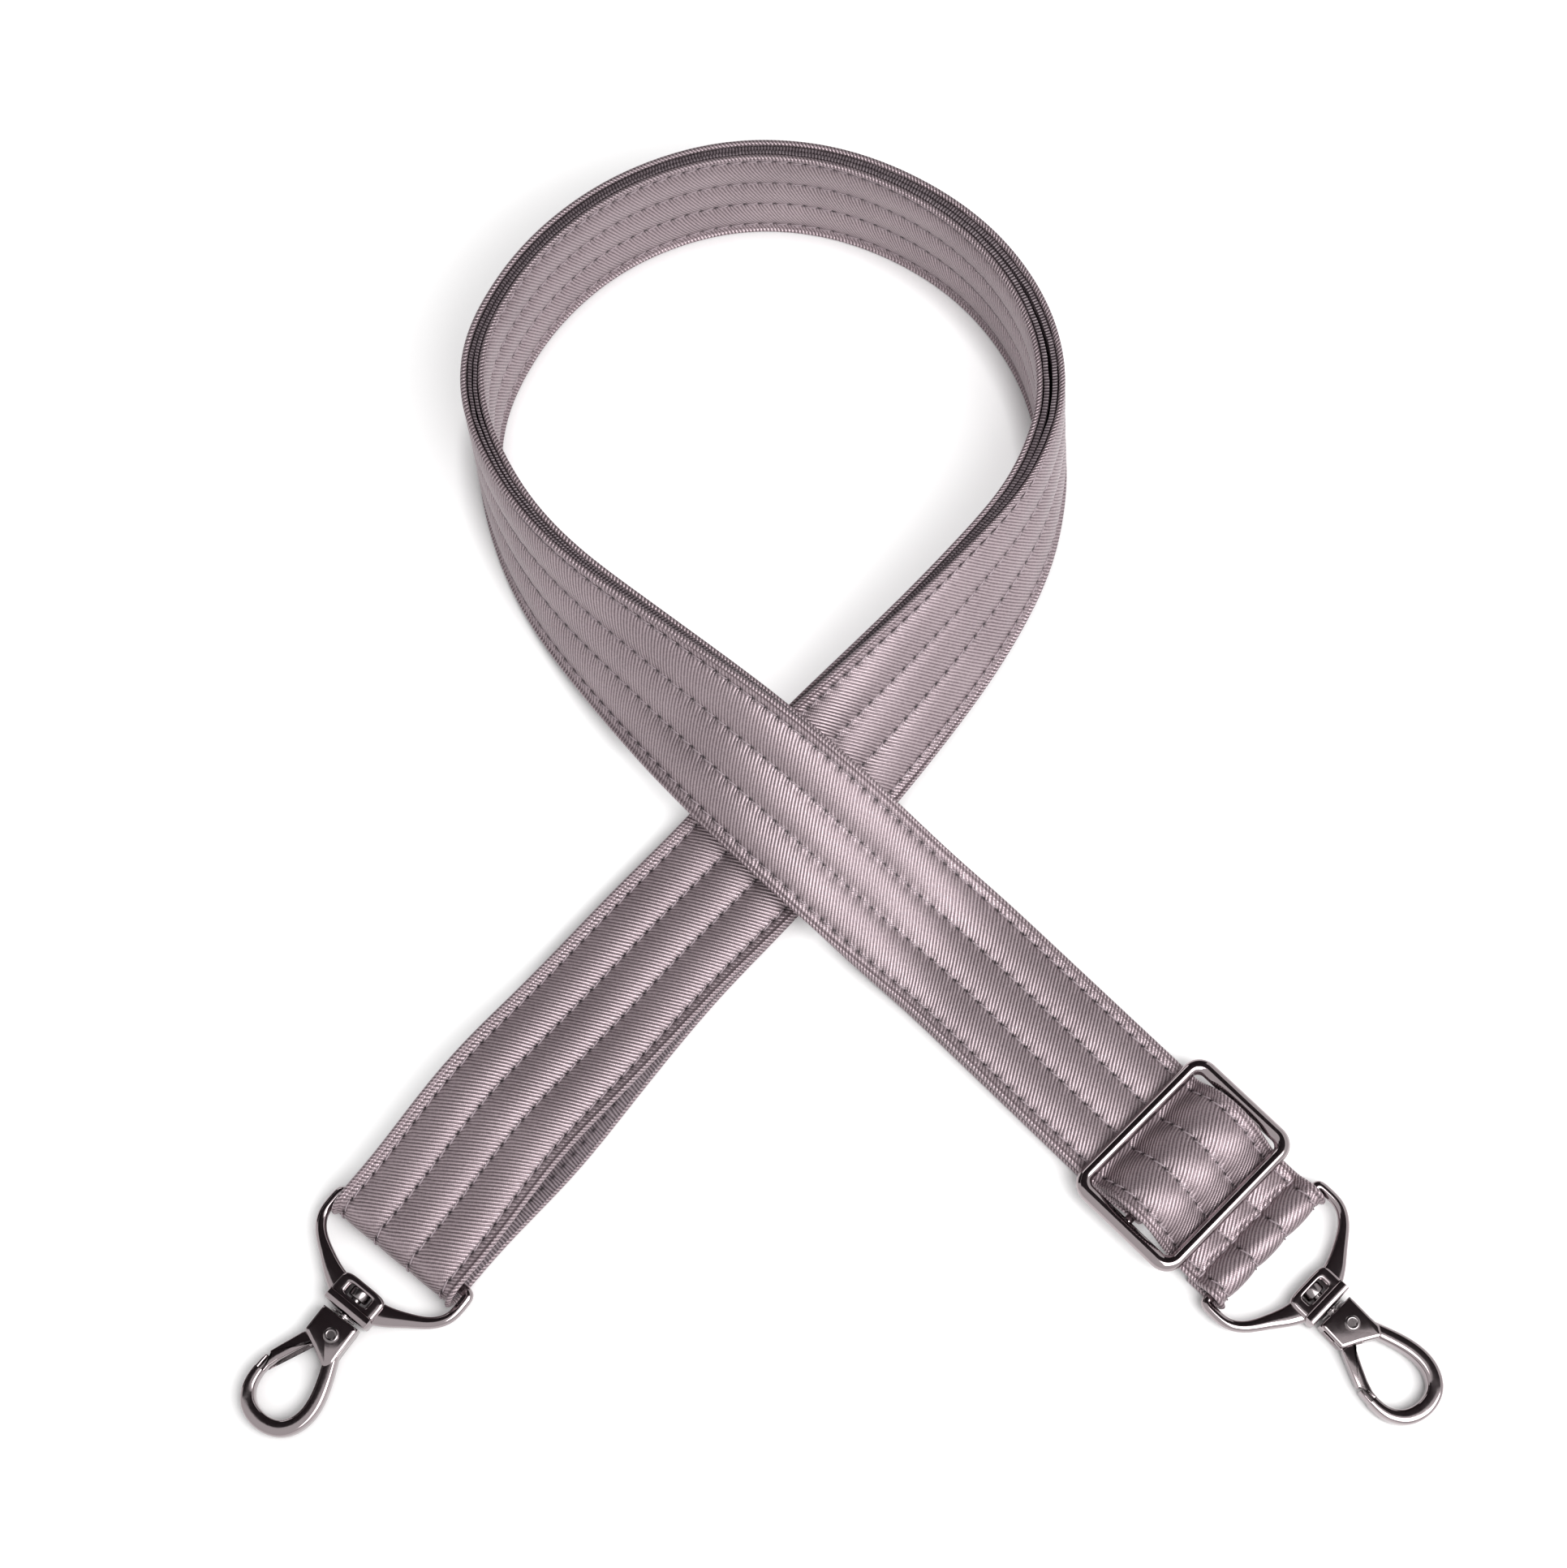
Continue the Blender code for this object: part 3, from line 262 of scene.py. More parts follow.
# %% [markdown]
# ## White paper
# The strap lies on seamless white paper. The paper is lit like the strap, so it keeps the strap's
# soft shadow. It also adds a little light of its own, only where the camera or something shiny looks
# at it, and less of it close to the strap, where real paper is shaded. It could be a white wall and
# floor, but one large level sheet gives the same look, and its edge is too far away to be seen.

# %% Paper floor
WHITE = linear("FFFFFF")
PAPER = linear("F2F1F1")
PAPER_HALF_SIDE = 12.0
SHADED_REACH = 8 * MM
GLOW_NEAR, GLOW_FAR = 0.58, 0.84


def seen_directly(tree):
    """1 for camera, mirror and see-through rays, 0 for the light that bounces on the object."""
    ray = node(tree, "LightPath", out=None).outputs
    seen = node(tree, "Math", ray["Is Camera Ray"], ray["Is Glossy Ray"], operation="MAXIMUM")
    return node(tree, "Math", seen, ray["Is Transmission Ray"], operation="MAXIMUM")


floor_material, tree, shader = new_material("seamless_paper")
connect(shader, {"Base Color": PAPER, "Roughness": 0.9, "Specular IOR Level": 0.1})
open_floor = node(tree, "AmbientOcclusion", named={"Distance": SHADED_REACH}, out="AO", samples=8)
unshaded = node(tree, "Math", open_floor, 1.8, operation="POWER")
away = node(tree, "VectorMath", node(tree, "TexCoord", out="Object"), operation="LENGTH", out="Value")
level = node(tree, "MapRange", away, 0.35, 1.6, GLOW_NEAR, GLOW_FAR, interpolation_type="SMOOTHSTEP")
lift = node(tree, "Math", unshaded, level, operation="MULTIPLY")
glow = node(tree, "Emission", WHITE, node(tree, "Math", seen_directly(tree), lift, operation="MULTIPLY"))
paper_surface = node(tree, "AddShader", shader.outputs[0], glow)
connect(tree.nodes["Material Output"], {"Surface": paper_surface})
corners = np.array([[-1, -1, 0], [1, -1, 0], [1, 1, 0], [-1, 1, 0]]) * PAPER_HALF_SIDE
corners[:, 2] = cad_box[0][2] - 0.05 * MM
floor = mesh_piece("floor", corners, [(0, 1, 2, 3)], floor_material)
print("floor at z", round(float(corners[0, 2]) / MM, 3), "mm")

# %% [markdown]
# ## Softboxes and dark cards
# Satin and polished metal show what surrounds them, so the light is arranged as in a product studio.
# One large softbox hangs overhead, in front and to the right, and makes every padded rib bright on
# its near side. A small one behind draws thin lights along the far edges. Dark cards stand behind, to
# the left and over the back of the table. They show only in reflections, and give the metal and the
# satin their dark tones.

# %% World and softboxes
ROOM_LIGHT = 0.20
bpy.context.scene.view_settings.view_transform = "Standard"
world = bpy.data.worlds.new("studio")
bpy.context.scene.world = world
world.use_nodes = True
tree = world.node_tree
room = tree.nodes["Background"]
connect(room, {"Color": WHITE, "Strength": ROOM_LIGHT})
mixed = node(tree, "MixShader", seen_directly(tree), room.outputs[0], node(tree, "Background", WHITE, 1.0))
connect(tree.nodes["World Output"], {"Surface": mixed})


def softbox(name, place, aim, size, power):
    """A rectangular area lamp at place, turned so that its local -Z points at aim."""
    data = bpy.data.lights.new(name, "AREA")
    data.shape = "RECTANGLE"
    data.size, data.size_y = size
    data.energy = power
    lamp = bpy.data.objects.new(name, data)
    bpy.context.collection.objects.link(lamp)
    lamp.location = place
    lamp.rotation_euler = (Vector(aim) - Vector(place)).to_track_quat("-Z", "Y").to_euler()


softbox("overhead_softbox", (0.52, -0.42, 0.88), (0.52, 0, 0), (0.95, 0.55), 12.2)
softbox("back_softbox", (-0.7, 1.1, 0.5), (0, 0, 0), (0.6, 0.4), 1.5)

# %% Dark cards
card_material, tree, shader = new_material("black_card")
connect(shader, {"Base Color": linear("463D41"), "Roughness": 0.8})


def dark_card(name, corner, far_corner):
    """An upright or level card between two opposite corners, seen only in shiny things."""
    one, two = np.array(corner), np.array(far_corner)
    level = abs(one[2] - two[2]) < 1e-6
    third = np.array([two[0], one[1], one[2]]) if level else np.array([two[0], two[1], one[2]])
    points = np.array([one, third, two, one + two - third])
    card = mesh_piece(name, points, [(0, 1, 2, 3)], card_material)
    card.visible_camera = False
    card.visible_shadow = False
    card.visible_diffuse = False


dark_card("top_card", (-1.3, -0.05, 1.3), (1.0, 1.4, 1.3))
dark_card("back_card", (-1.4, 1.4, 0.02), (0.8, 1.4, 1.3))
dark_card("left_card", (-1.4, 0.2, 0.02), (-1.4, 1.4, 1.3))

# %% [markdown]
# ## The lay of the band
# The band's route on the table was read from the photograph as the line its outer foot follows. Each
# row holds x and y in mm, the lean (0 lies flat, 1 stands upright), the lift over the crossing, the
# slack between the two layers, and the under layer's sideways drift, all in mm apart from the lean.
# A uniform cubic B-spline carries it, the same curve that the CAD uses, so the pieces lie where the
# solids do.

# %% Route of the band
LAY = 350.0
FOOT = np.array([
    (0.052, -0.148, 0.08, 0.25, 0, 0), (0.011, -0.116, 0.16, 0.80, 0, 0),
    (-0.041, -0.069, 0.29, 1.05, 0, 0), (-0.077, -0.031, 0.40, 0.95, 0, 0),
    (-0.108, 0.006, 0.49, 0.60, 0, 0), (-0.144, 0.055, 0.64, 0.15, 0, 0),
    (-0.183, 0.108, 0.78, 0, 0, 0), (-0.212, 0.162, 0.89, 0, 0.02, 0),
    (-0.229, 0.218, 0.97, 0, 0.06, 0), (-0.236, 0.265, 1.02, 0, 0.08, 0),
    (-0.231, 0.308, 1.05, 0, 0.08, 0), (-0.216, 0.348, 1.05, 0, 0.07, 0),
    (-0.189, 0.396, 1.04, 0, 0.06, 0), (-0.140, 0.446, 1.02, 0, 0.05, 0),
    (-0.075, 0.478, 1.01, 0, 0.05, 0), (-0.013, 0.488, 1.00, 0, 0.06, 0),
    (0.052, 0.478, 1.00, 0, 0.08, 0), (0.117, 0.446, 0.99, 0, 0.13, 0),
    (0.168, 0.399, 0.99, 0, 0.19, 0), (0.203, 0.336, 0.98, 0, 0.24, 0),
    (0.215, 0.277, 0.95, 0, 0.24, 0), (0.214, 0.230, 0.90, 0, 0.20, 0),
    (0.205, 0.175, 0.80, 0, 0.12, 0), (0.182, 0.121, 0.68, 0, 0.05, 0),
    (0.151, 0.068, 0.57, 0, 0, 0), (0.114, 0.017, 0.46, 0, 0, 0),
    (0.080, -0.027, 0.31, 0, 0, 0), (0.044, -0.069, 0.13, 0, 0, 0),
    (0.007, -0.110, 0.03, 0, 0.02, 0), (-0.042, -0.159, 0, 0, 0.08, 0.05),
    (-0.082, -0.206, 0, 0, 0.25, 0.20), (-0.118, -0.248, 0, 0, 0.60, 0.50),
    (-0.156, -0.290, 0, 0, 1.00, 0.95),
]) * np.array([LAY * MM, LAY * MM, 1.0, 11.0 * MM, 8.0 * MM, 4.0 * MM])
WIDTH = 38.0 * MM
FACING = 1.8 * MM
BACKING = 0.6 * MM
PLY_GAP = 0.3 * MM
LAYER = FACING + PLY_GAP + BACKING
LAYER_GAP = 0.5 * MM
SLIDER_HEADING = np.radians(134.8)
LEFT_HEADING = np.radians(-128.6)
LEFT_RING = np.array([-0.2643, -0.3454]) * LAY * MM
SLIDER_RUN = 62.0 * MM
LEFT_FOLD_RADIUS = 4.6 * MM
UP = np.array([0.0, 0.0, 1.0])


def heading(angle):
    """Unit vector (cos, sin, 0) in the plan, and the one to its left, (-sin, cos, 0)."""
    return np.array([np.cos(angle), np.sin(angle), 0.0]), np.array([-np.sin(angle), np.cos(angle), 0.0])


def spline(rows, per_span=40):
    """Uniform cubic B-spline: each span weighs four rows by (1-t)^3, 3t^3-6t^2+4, -3t^3+3t^2+3t+1, t^3."""
    t = np.arange(per_span)[:, None] / per_span
    basis = np.hstack([(1 - t) ** 3, 3 * t**3 - 6 * t**2 + 4, -3 * t**3 + 3 * t**2 + 3 * t + 1, t**3]) / 6
    windows = np.stack([rows[k:len(rows) - 3 + k] for k in range(4)], axis=1)
    dense = np.einsum("tk,nkc->ntc", basis, windows).reshape(-1, rows.shape[1])
    return np.vstack([dense, (rows[-3] + 4 * rows[-2] + rows[-1]) / 6])


def whole_spline(rows):
    """The spline with a mirrored row added at each end, so that it reaches the first and last rows."""
    return spline(np.vstack([2 * rows[0] - rows[1], rows, 2 * rows[-1] - rows[-2]]), 8)


def band_route():
    """Inside surface middles of the outer and the return layer, with across and normal vectors. The
    foot runs along the route; across = side cos(lean) - up sin(lean), normal = up cos + side sin."""
    travel, left = heading(SLIDER_HEADING)
    start = np.append(SLIDER_PLACE, 0) + travel * SLIDER_RUN + left * WIDTH / 2
    arrive, arrive_left = heading(LEFT_HEADING)
    finish = np.append(LEFT_RING, 0) + arrive_left * WIDTH / 2
    steps = np.array([[-1.0], [0.0], [1.0]]) * SLIDER_RUN / 4
    lead_in, lead_out = (np.hstack([(place + way * steps)[:, :2], np.zeros((3, 4))])
                         for place, way in ((start, travel), (finish, arrive)))
    lead_out[:, 4] = 2 * LEFT_FOLD_RADIUS - LAYER - LAYER_GAP
    dense = spline(np.vstack([lead_in, FOOT, lead_out]))
    way = unit(np.gradient(dense[:, :2], axis=0))
    side = np.stack([-way[:, 1], way[:, 0], np.zeros(len(way))], axis=1)
    lean = dense[:, 2] * np.pi / 2
    cos, sin = np.cos(lean)[:, None], np.sin(lean)[:, None]
    normals = UP * cos + side * sin
    across = side * cos - UP * sin
    height = np.maximum(LAYER * np.cos(lean), -(LAYER + LAYER_GAP) * np.cos(lean))
    foot = np.column_stack([dense[:, :2], height + dense[:, 3]]) - side * (LAYER + LAYER_GAP) * sin
    middle = foot - across * WIDTH / 2
    outer = middle + normals * (LAYER_GAP + dense[:, 4])[:, None]
    inner = middle + across * dense[:, 5][:, None]
    return outer + SHIFT, inner + SHIFT, across, normals


outer_line, inner_line, band_across, band_normals = band_route()
print("outer layer from slider run to left ring:", round(distance_along(outer_line)[-1] / MM), "mm")

# %% [markdown]
# ## The quilted facing
# The facing is satin twill over thin wadding, sewn through in four rows, so it swells into three soft
# ribs with a narrower margin at each side. Between two rows its height is a rounded hump,
# H(1 - |u|^2.2), where u runs from -1 to 1. Every stitch pulls the cloth down at its needle holes. The
# edge is turned in over a cord, so the section ends in a round bead. The section is swept along the
# band's route with numpy, and the dimples depend on the place along the band.

# %% Facing surface
ROWS = np.array([-15.75, -5.25, 5.25, 15.75]) * MM
STITCH = 4.1 * MM
PUFF = 1.10 * MM
VALLEY = 1.55 * MM
BEAD = 0.85 * MM
HALF = WIDTH / 2 - BEAD
UNDER = BACKING + PLY_GAP
CREASE = 0.85 * MM
DIMPLE = 0.32 * MM
PUCKER = 0.05 * MM
HOLE_REACH, PUCKER_REACH = 0.6 * MM, 2.4 * MM
HUMP_POWER, MARGIN_HUMP = 2.2, 0.32
STATION, FINE_STATION = 0.7 * MM, 0.5 * MM


def smooth(values):
    """Soft step: 3x^2 - 2x^3 between 0 and 1."""
    x = np.clip(values, 0, 1)
    return x * x * (3 - 2 * x)


def quilt_height(along, across, puff, seam):
    """Height of the facing over the layer's inside face: the valley, a hump between each two rows, a
    dimple at each needle hole, a faint pucker beside it, and a deep crease along a cross seam."""
    u = (across - ROWS[0]) / (ROWS[1] - ROWS[0])
    between = 2 * np.mod(u, 1) - 1
    inside = (u > 0) & (u < 3)
    margin = np.sin(np.pi * np.clip((np.abs(across) - ROWS[-1]) / (HALF - ROWS[-1]), 0, 1))
    hump = np.where(inside, 1 - np.abs(between) ** HUMP_POWER, MARGIN_HUMP * margin)
    beside = np.min(np.abs(across[..., None] - ROWS), axis=-1)
    turn = 2 * np.pi * along / STITCH
    hole = np.exp(-(beside / HOLE_REACH) ** 2) * (0.5 + 0.5 * np.cos(turn)) ** 3
    pucker = np.exp(-(beside / PUCKER_REACH) ** 2) * np.cos(turn)
    height = VALLEY + PUFF * puff * hump - DIMPLE * hole - PUCKER * pucker
    if seam is None:
        return height
    crossing = np.exp(-((along - seam) / CREASE) ** 2)
    across_hole = (0.5 + 0.5 * np.cos(2 * np.pi * across / (4 * MM))) ** 2
    return height - (height - VALLEY * 0.75) * crossing * (0.8 + 0.2 * across_hole)


def sweep(line, across, normals, a, h):
    """A section carried along the band: point = line + across a + normal h."""
    return line[:, None] + across[:, None] * a[..., None] + normals[:, None] * h[..., None]


def facing_rings(middle, across, normals, along, puff, seam):
    """Rings of the closed section at each station, and each point's distance round the section."""
    spread = np.pi / 2 * 0.97
    top = HALF * np.sin(np.linspace(-1, 1, 62) * spread) / np.sin(spread)
    side = np.linspace(np.pi / 2, -np.pi / 2, 9)[1:-1]
    a_top = np.broadcast_to(top, (len(along), len(top)))
    bead_middle = UNDER + BEAD
    h_top = quilt_height(along[:, None], a_top, puff[:, None], seam)
    fade = smooth((HALF - np.abs(a_top)) / (0.9 * MM))
    h_top = h_top * fade + (bead_middle + BEAD) * (1 - fade)
    flat = np.linspace(HALF, -HALF, 8)
    a = np.concatenate([top, HALF + BEAD * np.cos(side), flat, -HALF - BEAD * np.cos(side[::-1])])
    h_side = bead_middle + BEAD * np.sin(side)
    h = np.concatenate([h_top, np.tile(h_side, (len(along), 1)), np.full((len(along), 8), UNDER),
                        np.tile(h_side[::-1], (len(along), 1))], axis=1)
    round_edge = BEAD * (np.pi / 2 - side)
    under = HALF + BEAD * np.pi + (HALF - flat)
    measure = np.concatenate([top, HALF + round_edge, under, -HALF - round_edge[::-1]])
    return sweep(middle, across, normals, a, h), np.broadcast_to(measure, h.shape)


def strip_section(half, thick, flats, turns):
    """Flat section with half-round sides: flats points on each face and turns round each side."""
    side = np.linspace(np.pi / 2, -np.pi / 2, turns)
    flat = np.linspace(thick - half, half - thick, flats + 2)[1:-1]
    a_side, h_side = half - thick + thick * np.cos(side), thick * np.sin(side)
    a = np.concatenate([flat, a_side, flat[::-1], -a_side[::-1]])
    return a, np.concatenate([np.full(flats, thick), h_side, np.full(flats, -thick), h_side[::-1]])


def backing_rings(middle, across, normals, along, fill):
    """Rounded flat section, 0.6 mm thick and puffed out by fill, whose edges wave by a sum of two
    sines along the band."""
    half, thick = WIDTH / 2 - 0.5 * MM, BACKING / 2
    a, h = strip_section(half, thick, 10, 5)
    h = thick + h
    wave = 0.11 * MM * np.sin(along / (3.1 * MM)) + 0.07 * MM * np.sin(along / (1.3 * MM) + 2)
    rise = np.clip(wave[:, None] * (np.abs(a) / half)[None] ** 6, 0, None)
    lift = rise - fill[:, None] * (h < thick)
    return sweep(middle, across, normals, a, h + lift), np.broadcast_to(a, lift.shape)


print("rows at", (ROWS / MM).tolist(), "mm; stitch", STITCH / MM, "mm")

# %% [markdown]
# ## Satin twill
# The cloth is a polyester satin with a steep twill rib, 0.86 mm apart in the photograph. Its floats
# lie side by side like fine polished rods, so it has a tinted silky highlight: the material is partly
# metallic with a middling roughness. Next to each row of stitches the ribs bend towards the needle
# holes, and painted shade darkens the holes and, faintly, the crease along each row. Everything is
# worked out from the band's own UV map, in millimetres along the band and round its section. The
# lining inside the band has the same rib, but is duller and darker, with a plainer weave, and painted
# shade darkens its edges, for the shaded gap between the two layers. The real yarns are finer than the
# ribs and would not show, so the cross threads are drawn about as wide as half a rib. A fine grain
# (0.7 mm) and soft clouds (20 mm) vary the tone a little, as in any woven satin.

# %% Cloth materials
RIB_MM, BEND_MM, GRAIN_MM, CLOUD_MM = 0.86, 6.2, 0.7, 20.0
RIM_MM = (17.6, 18.8)
PULL, WANDER = 1.3, 1.2
CROSS_THREADS, CROSS_DEPTH = 1.9, 0.20
RIB_TONE, GRAIN_TONE, CLOUD_TONE = 0.42, 0.60, 0.35
# Painted shade at the needle holes and along each row: its share at a hole, its share along the row, and
# its colour.
HOLE_SHADE_SHARE, ROW_SHADE_SHARE = 0.82, 0.18
NEEDLE_SHADE_COLOUR = linear("2A2226")


def twill_material(name, light, dark, rib_degrees, relief_mm, gloss, edge_ridge, edge_shade):
    """Twill on the UV map 'band'. Its height is sin(rib turn) + 0.20 sin(cross turn). The rib turn is
    bent by soft noise and pulled at the stitches, and painted shade darkens the needle holes and, more
    faintly, each row. Near the band's edges the ribs stand out by edge_ridge, and painted shade lowers
    the tone by edge_shade."""
    material, tree, shader = new_material(name)
    uv = node(tree, "UVMap", uv_map="band")
    axis = node(tree, "SeparateXYZ", uv, out=None).outputs
    along, across = axis["X"], axis["Y"]

    def sums(operation, *values):
        return node(tree, "Math", *values, operation=operation)

    spacing = float(ROWS[1] - ROWS[0]) / MM
    beside = sums("PINGPONG", sums("ADD", across, spacing / 2), spacing / 2)
    squared = sums("POWER", beside, 2.0)
    stitch_turn = sums("MULTIPLY", along, 2 * np.pi * MM / STITCH)
    pull = sums("MULTIPLY", sums("SINE", stitch_turn), sums("EXPONENT", sums("MULTIPLY", squared, -0.55)))
    turn = 2 * np.pi / RIB_MM
    rib_angle = np.radians(rib_degrees)
    cos, sin = float(np.cos(rib_angle)), float(np.sin(rib_angle))
    slant = sums("MULTIPLY_ADD", across, turn * sin, sums("MULTIPLY", along, turn * cos))
    wander = noise(tree, uv, BEND_MM, 1.0)
    bent = sums("MULTIPLY_ADD", pull, PULL, sums("MULTIPLY_ADD", wander, WANDER, slant))
    fine = CROSS_THREADS * turn
    yarn_turn = sums("MULTIPLY_ADD", across, fine * cos, sums("MULTIPLY", along, -fine * sin))
    weave = sums("MULTIPLY_ADD", sums("SINE", yarn_turn), CROSS_DEPTH, sums("SINE", bent))
    # Painted shade: strong at each needle hole and faint along the whole row, where the crease is shaded.
    hole = sums("POWER", sums("MULTIPLY_ADD", sums("COSINE", stitch_turn), 0.5, 0.5), 2.8)
    tight = sums("EXPONENT", sums("MULTIPLY", squared, -5.0))
    shade = sums("MULTIPLY", tight, sums("MULTIPLY_ADD", hole, HOLE_SHADE_SHARE, ROW_SHADE_SHARE))
    grain = sums("SUBTRACT", noise(tree, uv, GRAIN_MM, 1.0), 0.5)
    cloud = sums("SUBTRACT", noise(tree, uv, CLOUD_MM, 2.0), 0.5)
    # Near the edges the rib stands higher, and painted shade darkens the tone by edge_shade.
    rim = node(tree, "MapRange", sums("ABSOLUTE", across), *RIM_MM, interpolation_type="SMOOTHSTEP")
    ridge = sums("MULTIPLY", weave, sums("MULTIPLY_ADD", rim, edge_ridge, 1.0))
    plain = sums("MULTIPLY_ADD", rim, -edge_shade, sums("MULTIPLY_ADD", ridge, RIB_TONE, 0.5))
    uneven = sums("MULTIPLY_ADD", grain, GRAIN_TONE, plain)
    tone = sums("MULTIPLY_ADD", cloud, CLOUD_TONE, uneven)
    woven = mixed_colour(tree, tone, linear(dark), linear(light))
    colour = mixed_colour(tree, shade, woven, NEEDLE_SHADE_COLOUR)
    bump = relief(tree, ridge, relief_mm * MM)
    connect(shader, {"Base Color": colour, "Normal": bump, "Metallic": gloss, "Roughness": 0.39})
    return material


SATIN = twill_material("polyester_satin_twill", "BBAAAF", "6C5E63", 30.0, 0.046, 0.55, 0.5, 0.0)
# The lining's edges get painted shade (0.35), for the shaded gap between the layers.
LINING = twill_material("woven_lining", "A99AA0", "453A3F", 8.0, 0.09, 0.2, 0.0, 0.35)
print("cloth:", SATIN.name, LINING.name)

# %% [markdown]
# ## Stitches
# The seams are lockstitch in a matching polyester thread, 0.42 mm thick, in stitches 4.1 mm long. Only
# the top thread shows: each stitch is a low arch that dives into its needle holes. One small arch is
# worked out once and repeated along every row with whole-array sums. The thread's twist is a fine
# slanted bump on its UV map.

# %% Thread material and stitch rows
THREAD_RADIUS = 0.21 * MM
DIVE = 0.40 * MM
THREAD_RINGS, THREAD_SIDES = 7, 6
TWIST = (9.0, 14.0, 0.0)
thread_material, tree, shader = new_material("polyester_sewing_thread")
uv = node(tree, "UVMap", uv_map="band")
ply = node(tree, "VectorMath", uv, TWIST, operation="DOT_PRODUCT", out="Value")
ply_wave = node(tree, "Math", ply, operation="SINE")
bump = relief(tree, ply_wave, 0.04 * MM, 0.6)
ply_tone = node(tree, "Math", ply_wave, 0.5, 0.5, operation="MULTIPLY_ADD")
thread_colour = mixed_colour(tree, ply_tone, linear("9C8D93"), linear("C4B5BB"))
connect(shader, {"Base Color": thread_colour, "Normal": bump, "Roughness": 0.6})


def stitch_mesh(centres, ways, normals, reach, radius=THREAD_RADIUS):
    """Arches at the given centres, each a small tube whose height falls as the fourth power of the
    place along it, so both ends dive into the cloth."""
    rings, sides = THREAD_RINGS, THREAD_SIDES
    t = np.linspace(-1, 1, rings)
    around = np.arange(sides) * 2 * np.pi / sides
    thick = radius * np.sqrt(np.clip(1.02 - t**4, 0.1, 1))
    beside = np.cross(normals, ways)
    spine = (centres[:, None] + ways[:, None] * (t * reach)[None, :, None]
             + normals[:, None] * (radius * 0.6 - DIVE * t**4)[None, :, None])
    ring = (beside[:, None, None] * np.cos(around)[None, None, :, None]
            + normals[:, None, None] * np.sin(around)[None, None, :, None]) * thick[None, :, None, None]
    points = (spine[:, :, None] + ring).reshape(-1, 3)
    corners = np.arange(rings * sides)
    shift = len(corners) * np.arange(len(centres))[:, None, None]
    caps = np.array([corners[:sides][::-1], corners[-sides:]])
    faces = [*(grid_faces(rings, sides) + shift).reshape(-1, 4), *(caps + shift).reshape(-1, sides)]
    uv_one = np.stack([np.repeat(t * reach, sides), np.tile(around * radius, rings)], axis=1) / MM
    return points, faces, np.tile(uv_one, (len(centres), 1))


def stitch_rows(name, middle, across, normals, along, puff, seam):
    """One piece with all the stitches of a stretch: centres midway between needle holes."""
    first = np.floor(along[0] / STITCH) + 1.5
    at = np.arange(first * STITCH, along[-1] - STITCH * 0.45, STITCH)
    if seam is not None:
        at = at[np.abs(at - seam) > STITCH * 0.45]

    centre, side, up = (read_at(at, along, field) for field in (middle, across, normals))
    ahead, behind = (read_at(at + step, along, middle) for step in (0.3 * MM, -0.3 * MM))
    ways = unit(ahead - behind + 0.08 * MM * side)
    flat_puff = np.interp(at, along, puff)
    centres = [centre + side * row + up * quilt_height(at, np.full(len(at), row), flat_puff, seam)[:, None]
               for row in ROWS]
    data = stitch_mesh(np.vstack(centres), np.tile(ways, (4, 1)), np.tile(up, (4, 1)), STITCH * 0.43)
    return mesh_piece(name, data[0], data[1], thread_material, data[2], 60.0)


print("one stitch has", (THREAD_RINGS - 1) * THREAD_SIDES + 2, "faces")

# %% [markdown]
# ## One continuous band
# The band is a single strip. It starts under the slider, where its end is sewn round the centre bar,
# lies under the loop as the return layer, folds round the left ring's bar, comes back on top as the
# outer layer, waves over the slider's bar and folds round the right ring's bar. The straight and bent
# ends are B-splines of (run, height) rows in upright planes. All of it is joined into one line and cut
# only where metal hides the cut: under the slider's inner bar and under the left fold. A path is a
# table with ten columns: a point, the direction across the band, the direction out of its face, and
# last the run of an upright end, or how far the lining puffs out.

# %% Upright ends
CLEAR = 0.3 * MM
BAR = 1.65 * MM
WIRE = 1.35 * MM
SLIDER_Z = 2 * LAYER + LAYER_GAP + CLEAR + BAR
SLIDER_LONG, SLIDER_WIDE = 33.5, 47.8
SLIDER_HALF_RUN = SLIDER_LONG * MM / 2 - BAR
SEAM = 21.5 * MM
SEAM_TAB = 2.0 * MM
RING_RUN = 26.7 * MM
END_REACH = 12.7 * MM
END_THICK = 1.4 * MM
CENTRE_BAR = 1.2 * MM
HIDDEN_CUT = 15.0 * MM


def upright(origin, angle, rows):
    """A path drawn in the upright plane along a heading: point, across, normal and run."""
    travel, left = heading(angle)
    dense = spline(np.array(rows))
    way = unit(np.gradient(dense, axis=0))
    line = np.append(origin, 0.0) + travel * dense[:, :1] + UP * dense[:, 1:] + SHIFT
    normals = UP * way[:, :1] - travel * way[:, 1:]
    return np.hstack([line, np.tile(left, (len(dense), 1)), normals, dense[:, :1]])


def arc_rows(radius, run, height, first, last, turns):
    """Rows round an arc; they stand a little outside it, since a B-spline stays inside its rows."""
    angles = np.radians(np.linspace(first, last, turns + 1))
    grown = radius / (1 - np.radians((last - first) / turns) ** 2 / 6)
    return list(zip(run + grown * np.cos(angles), height + grown * np.sin(angles)))


def wave_rows():
    """The outer layer's inside face over the slider's centre bar."""
    low = LAYER + LAYER_GAP
    rise = SLIDER_Z + CENTRE_BAR + END_THICK + 2 * CLEAR - low
    seam = LAYER + CLEAR
    rows = [(-SEAM - CLEAR, seam), (-SEAM + SEAM_TAB, seam), (-SLIDER_HALF_RUN, seam)]
    shares = ((-0.72, 0.16), (-0.42, 0.80), (-0.18, 1.06), (0.18, 1.06), (0.40, 0.80), (0.62, 0.16),
              (0.80, 0.0))
    rows += [(SLIDER_HALF_RUN * along, low + rise * share) for along, share in shares]
    return rows + [(run, low) for run in np.linspace(SLIDER_HALF_RUN, SLIDER_RUN + SLIDER_HALF_RUN, 7)]


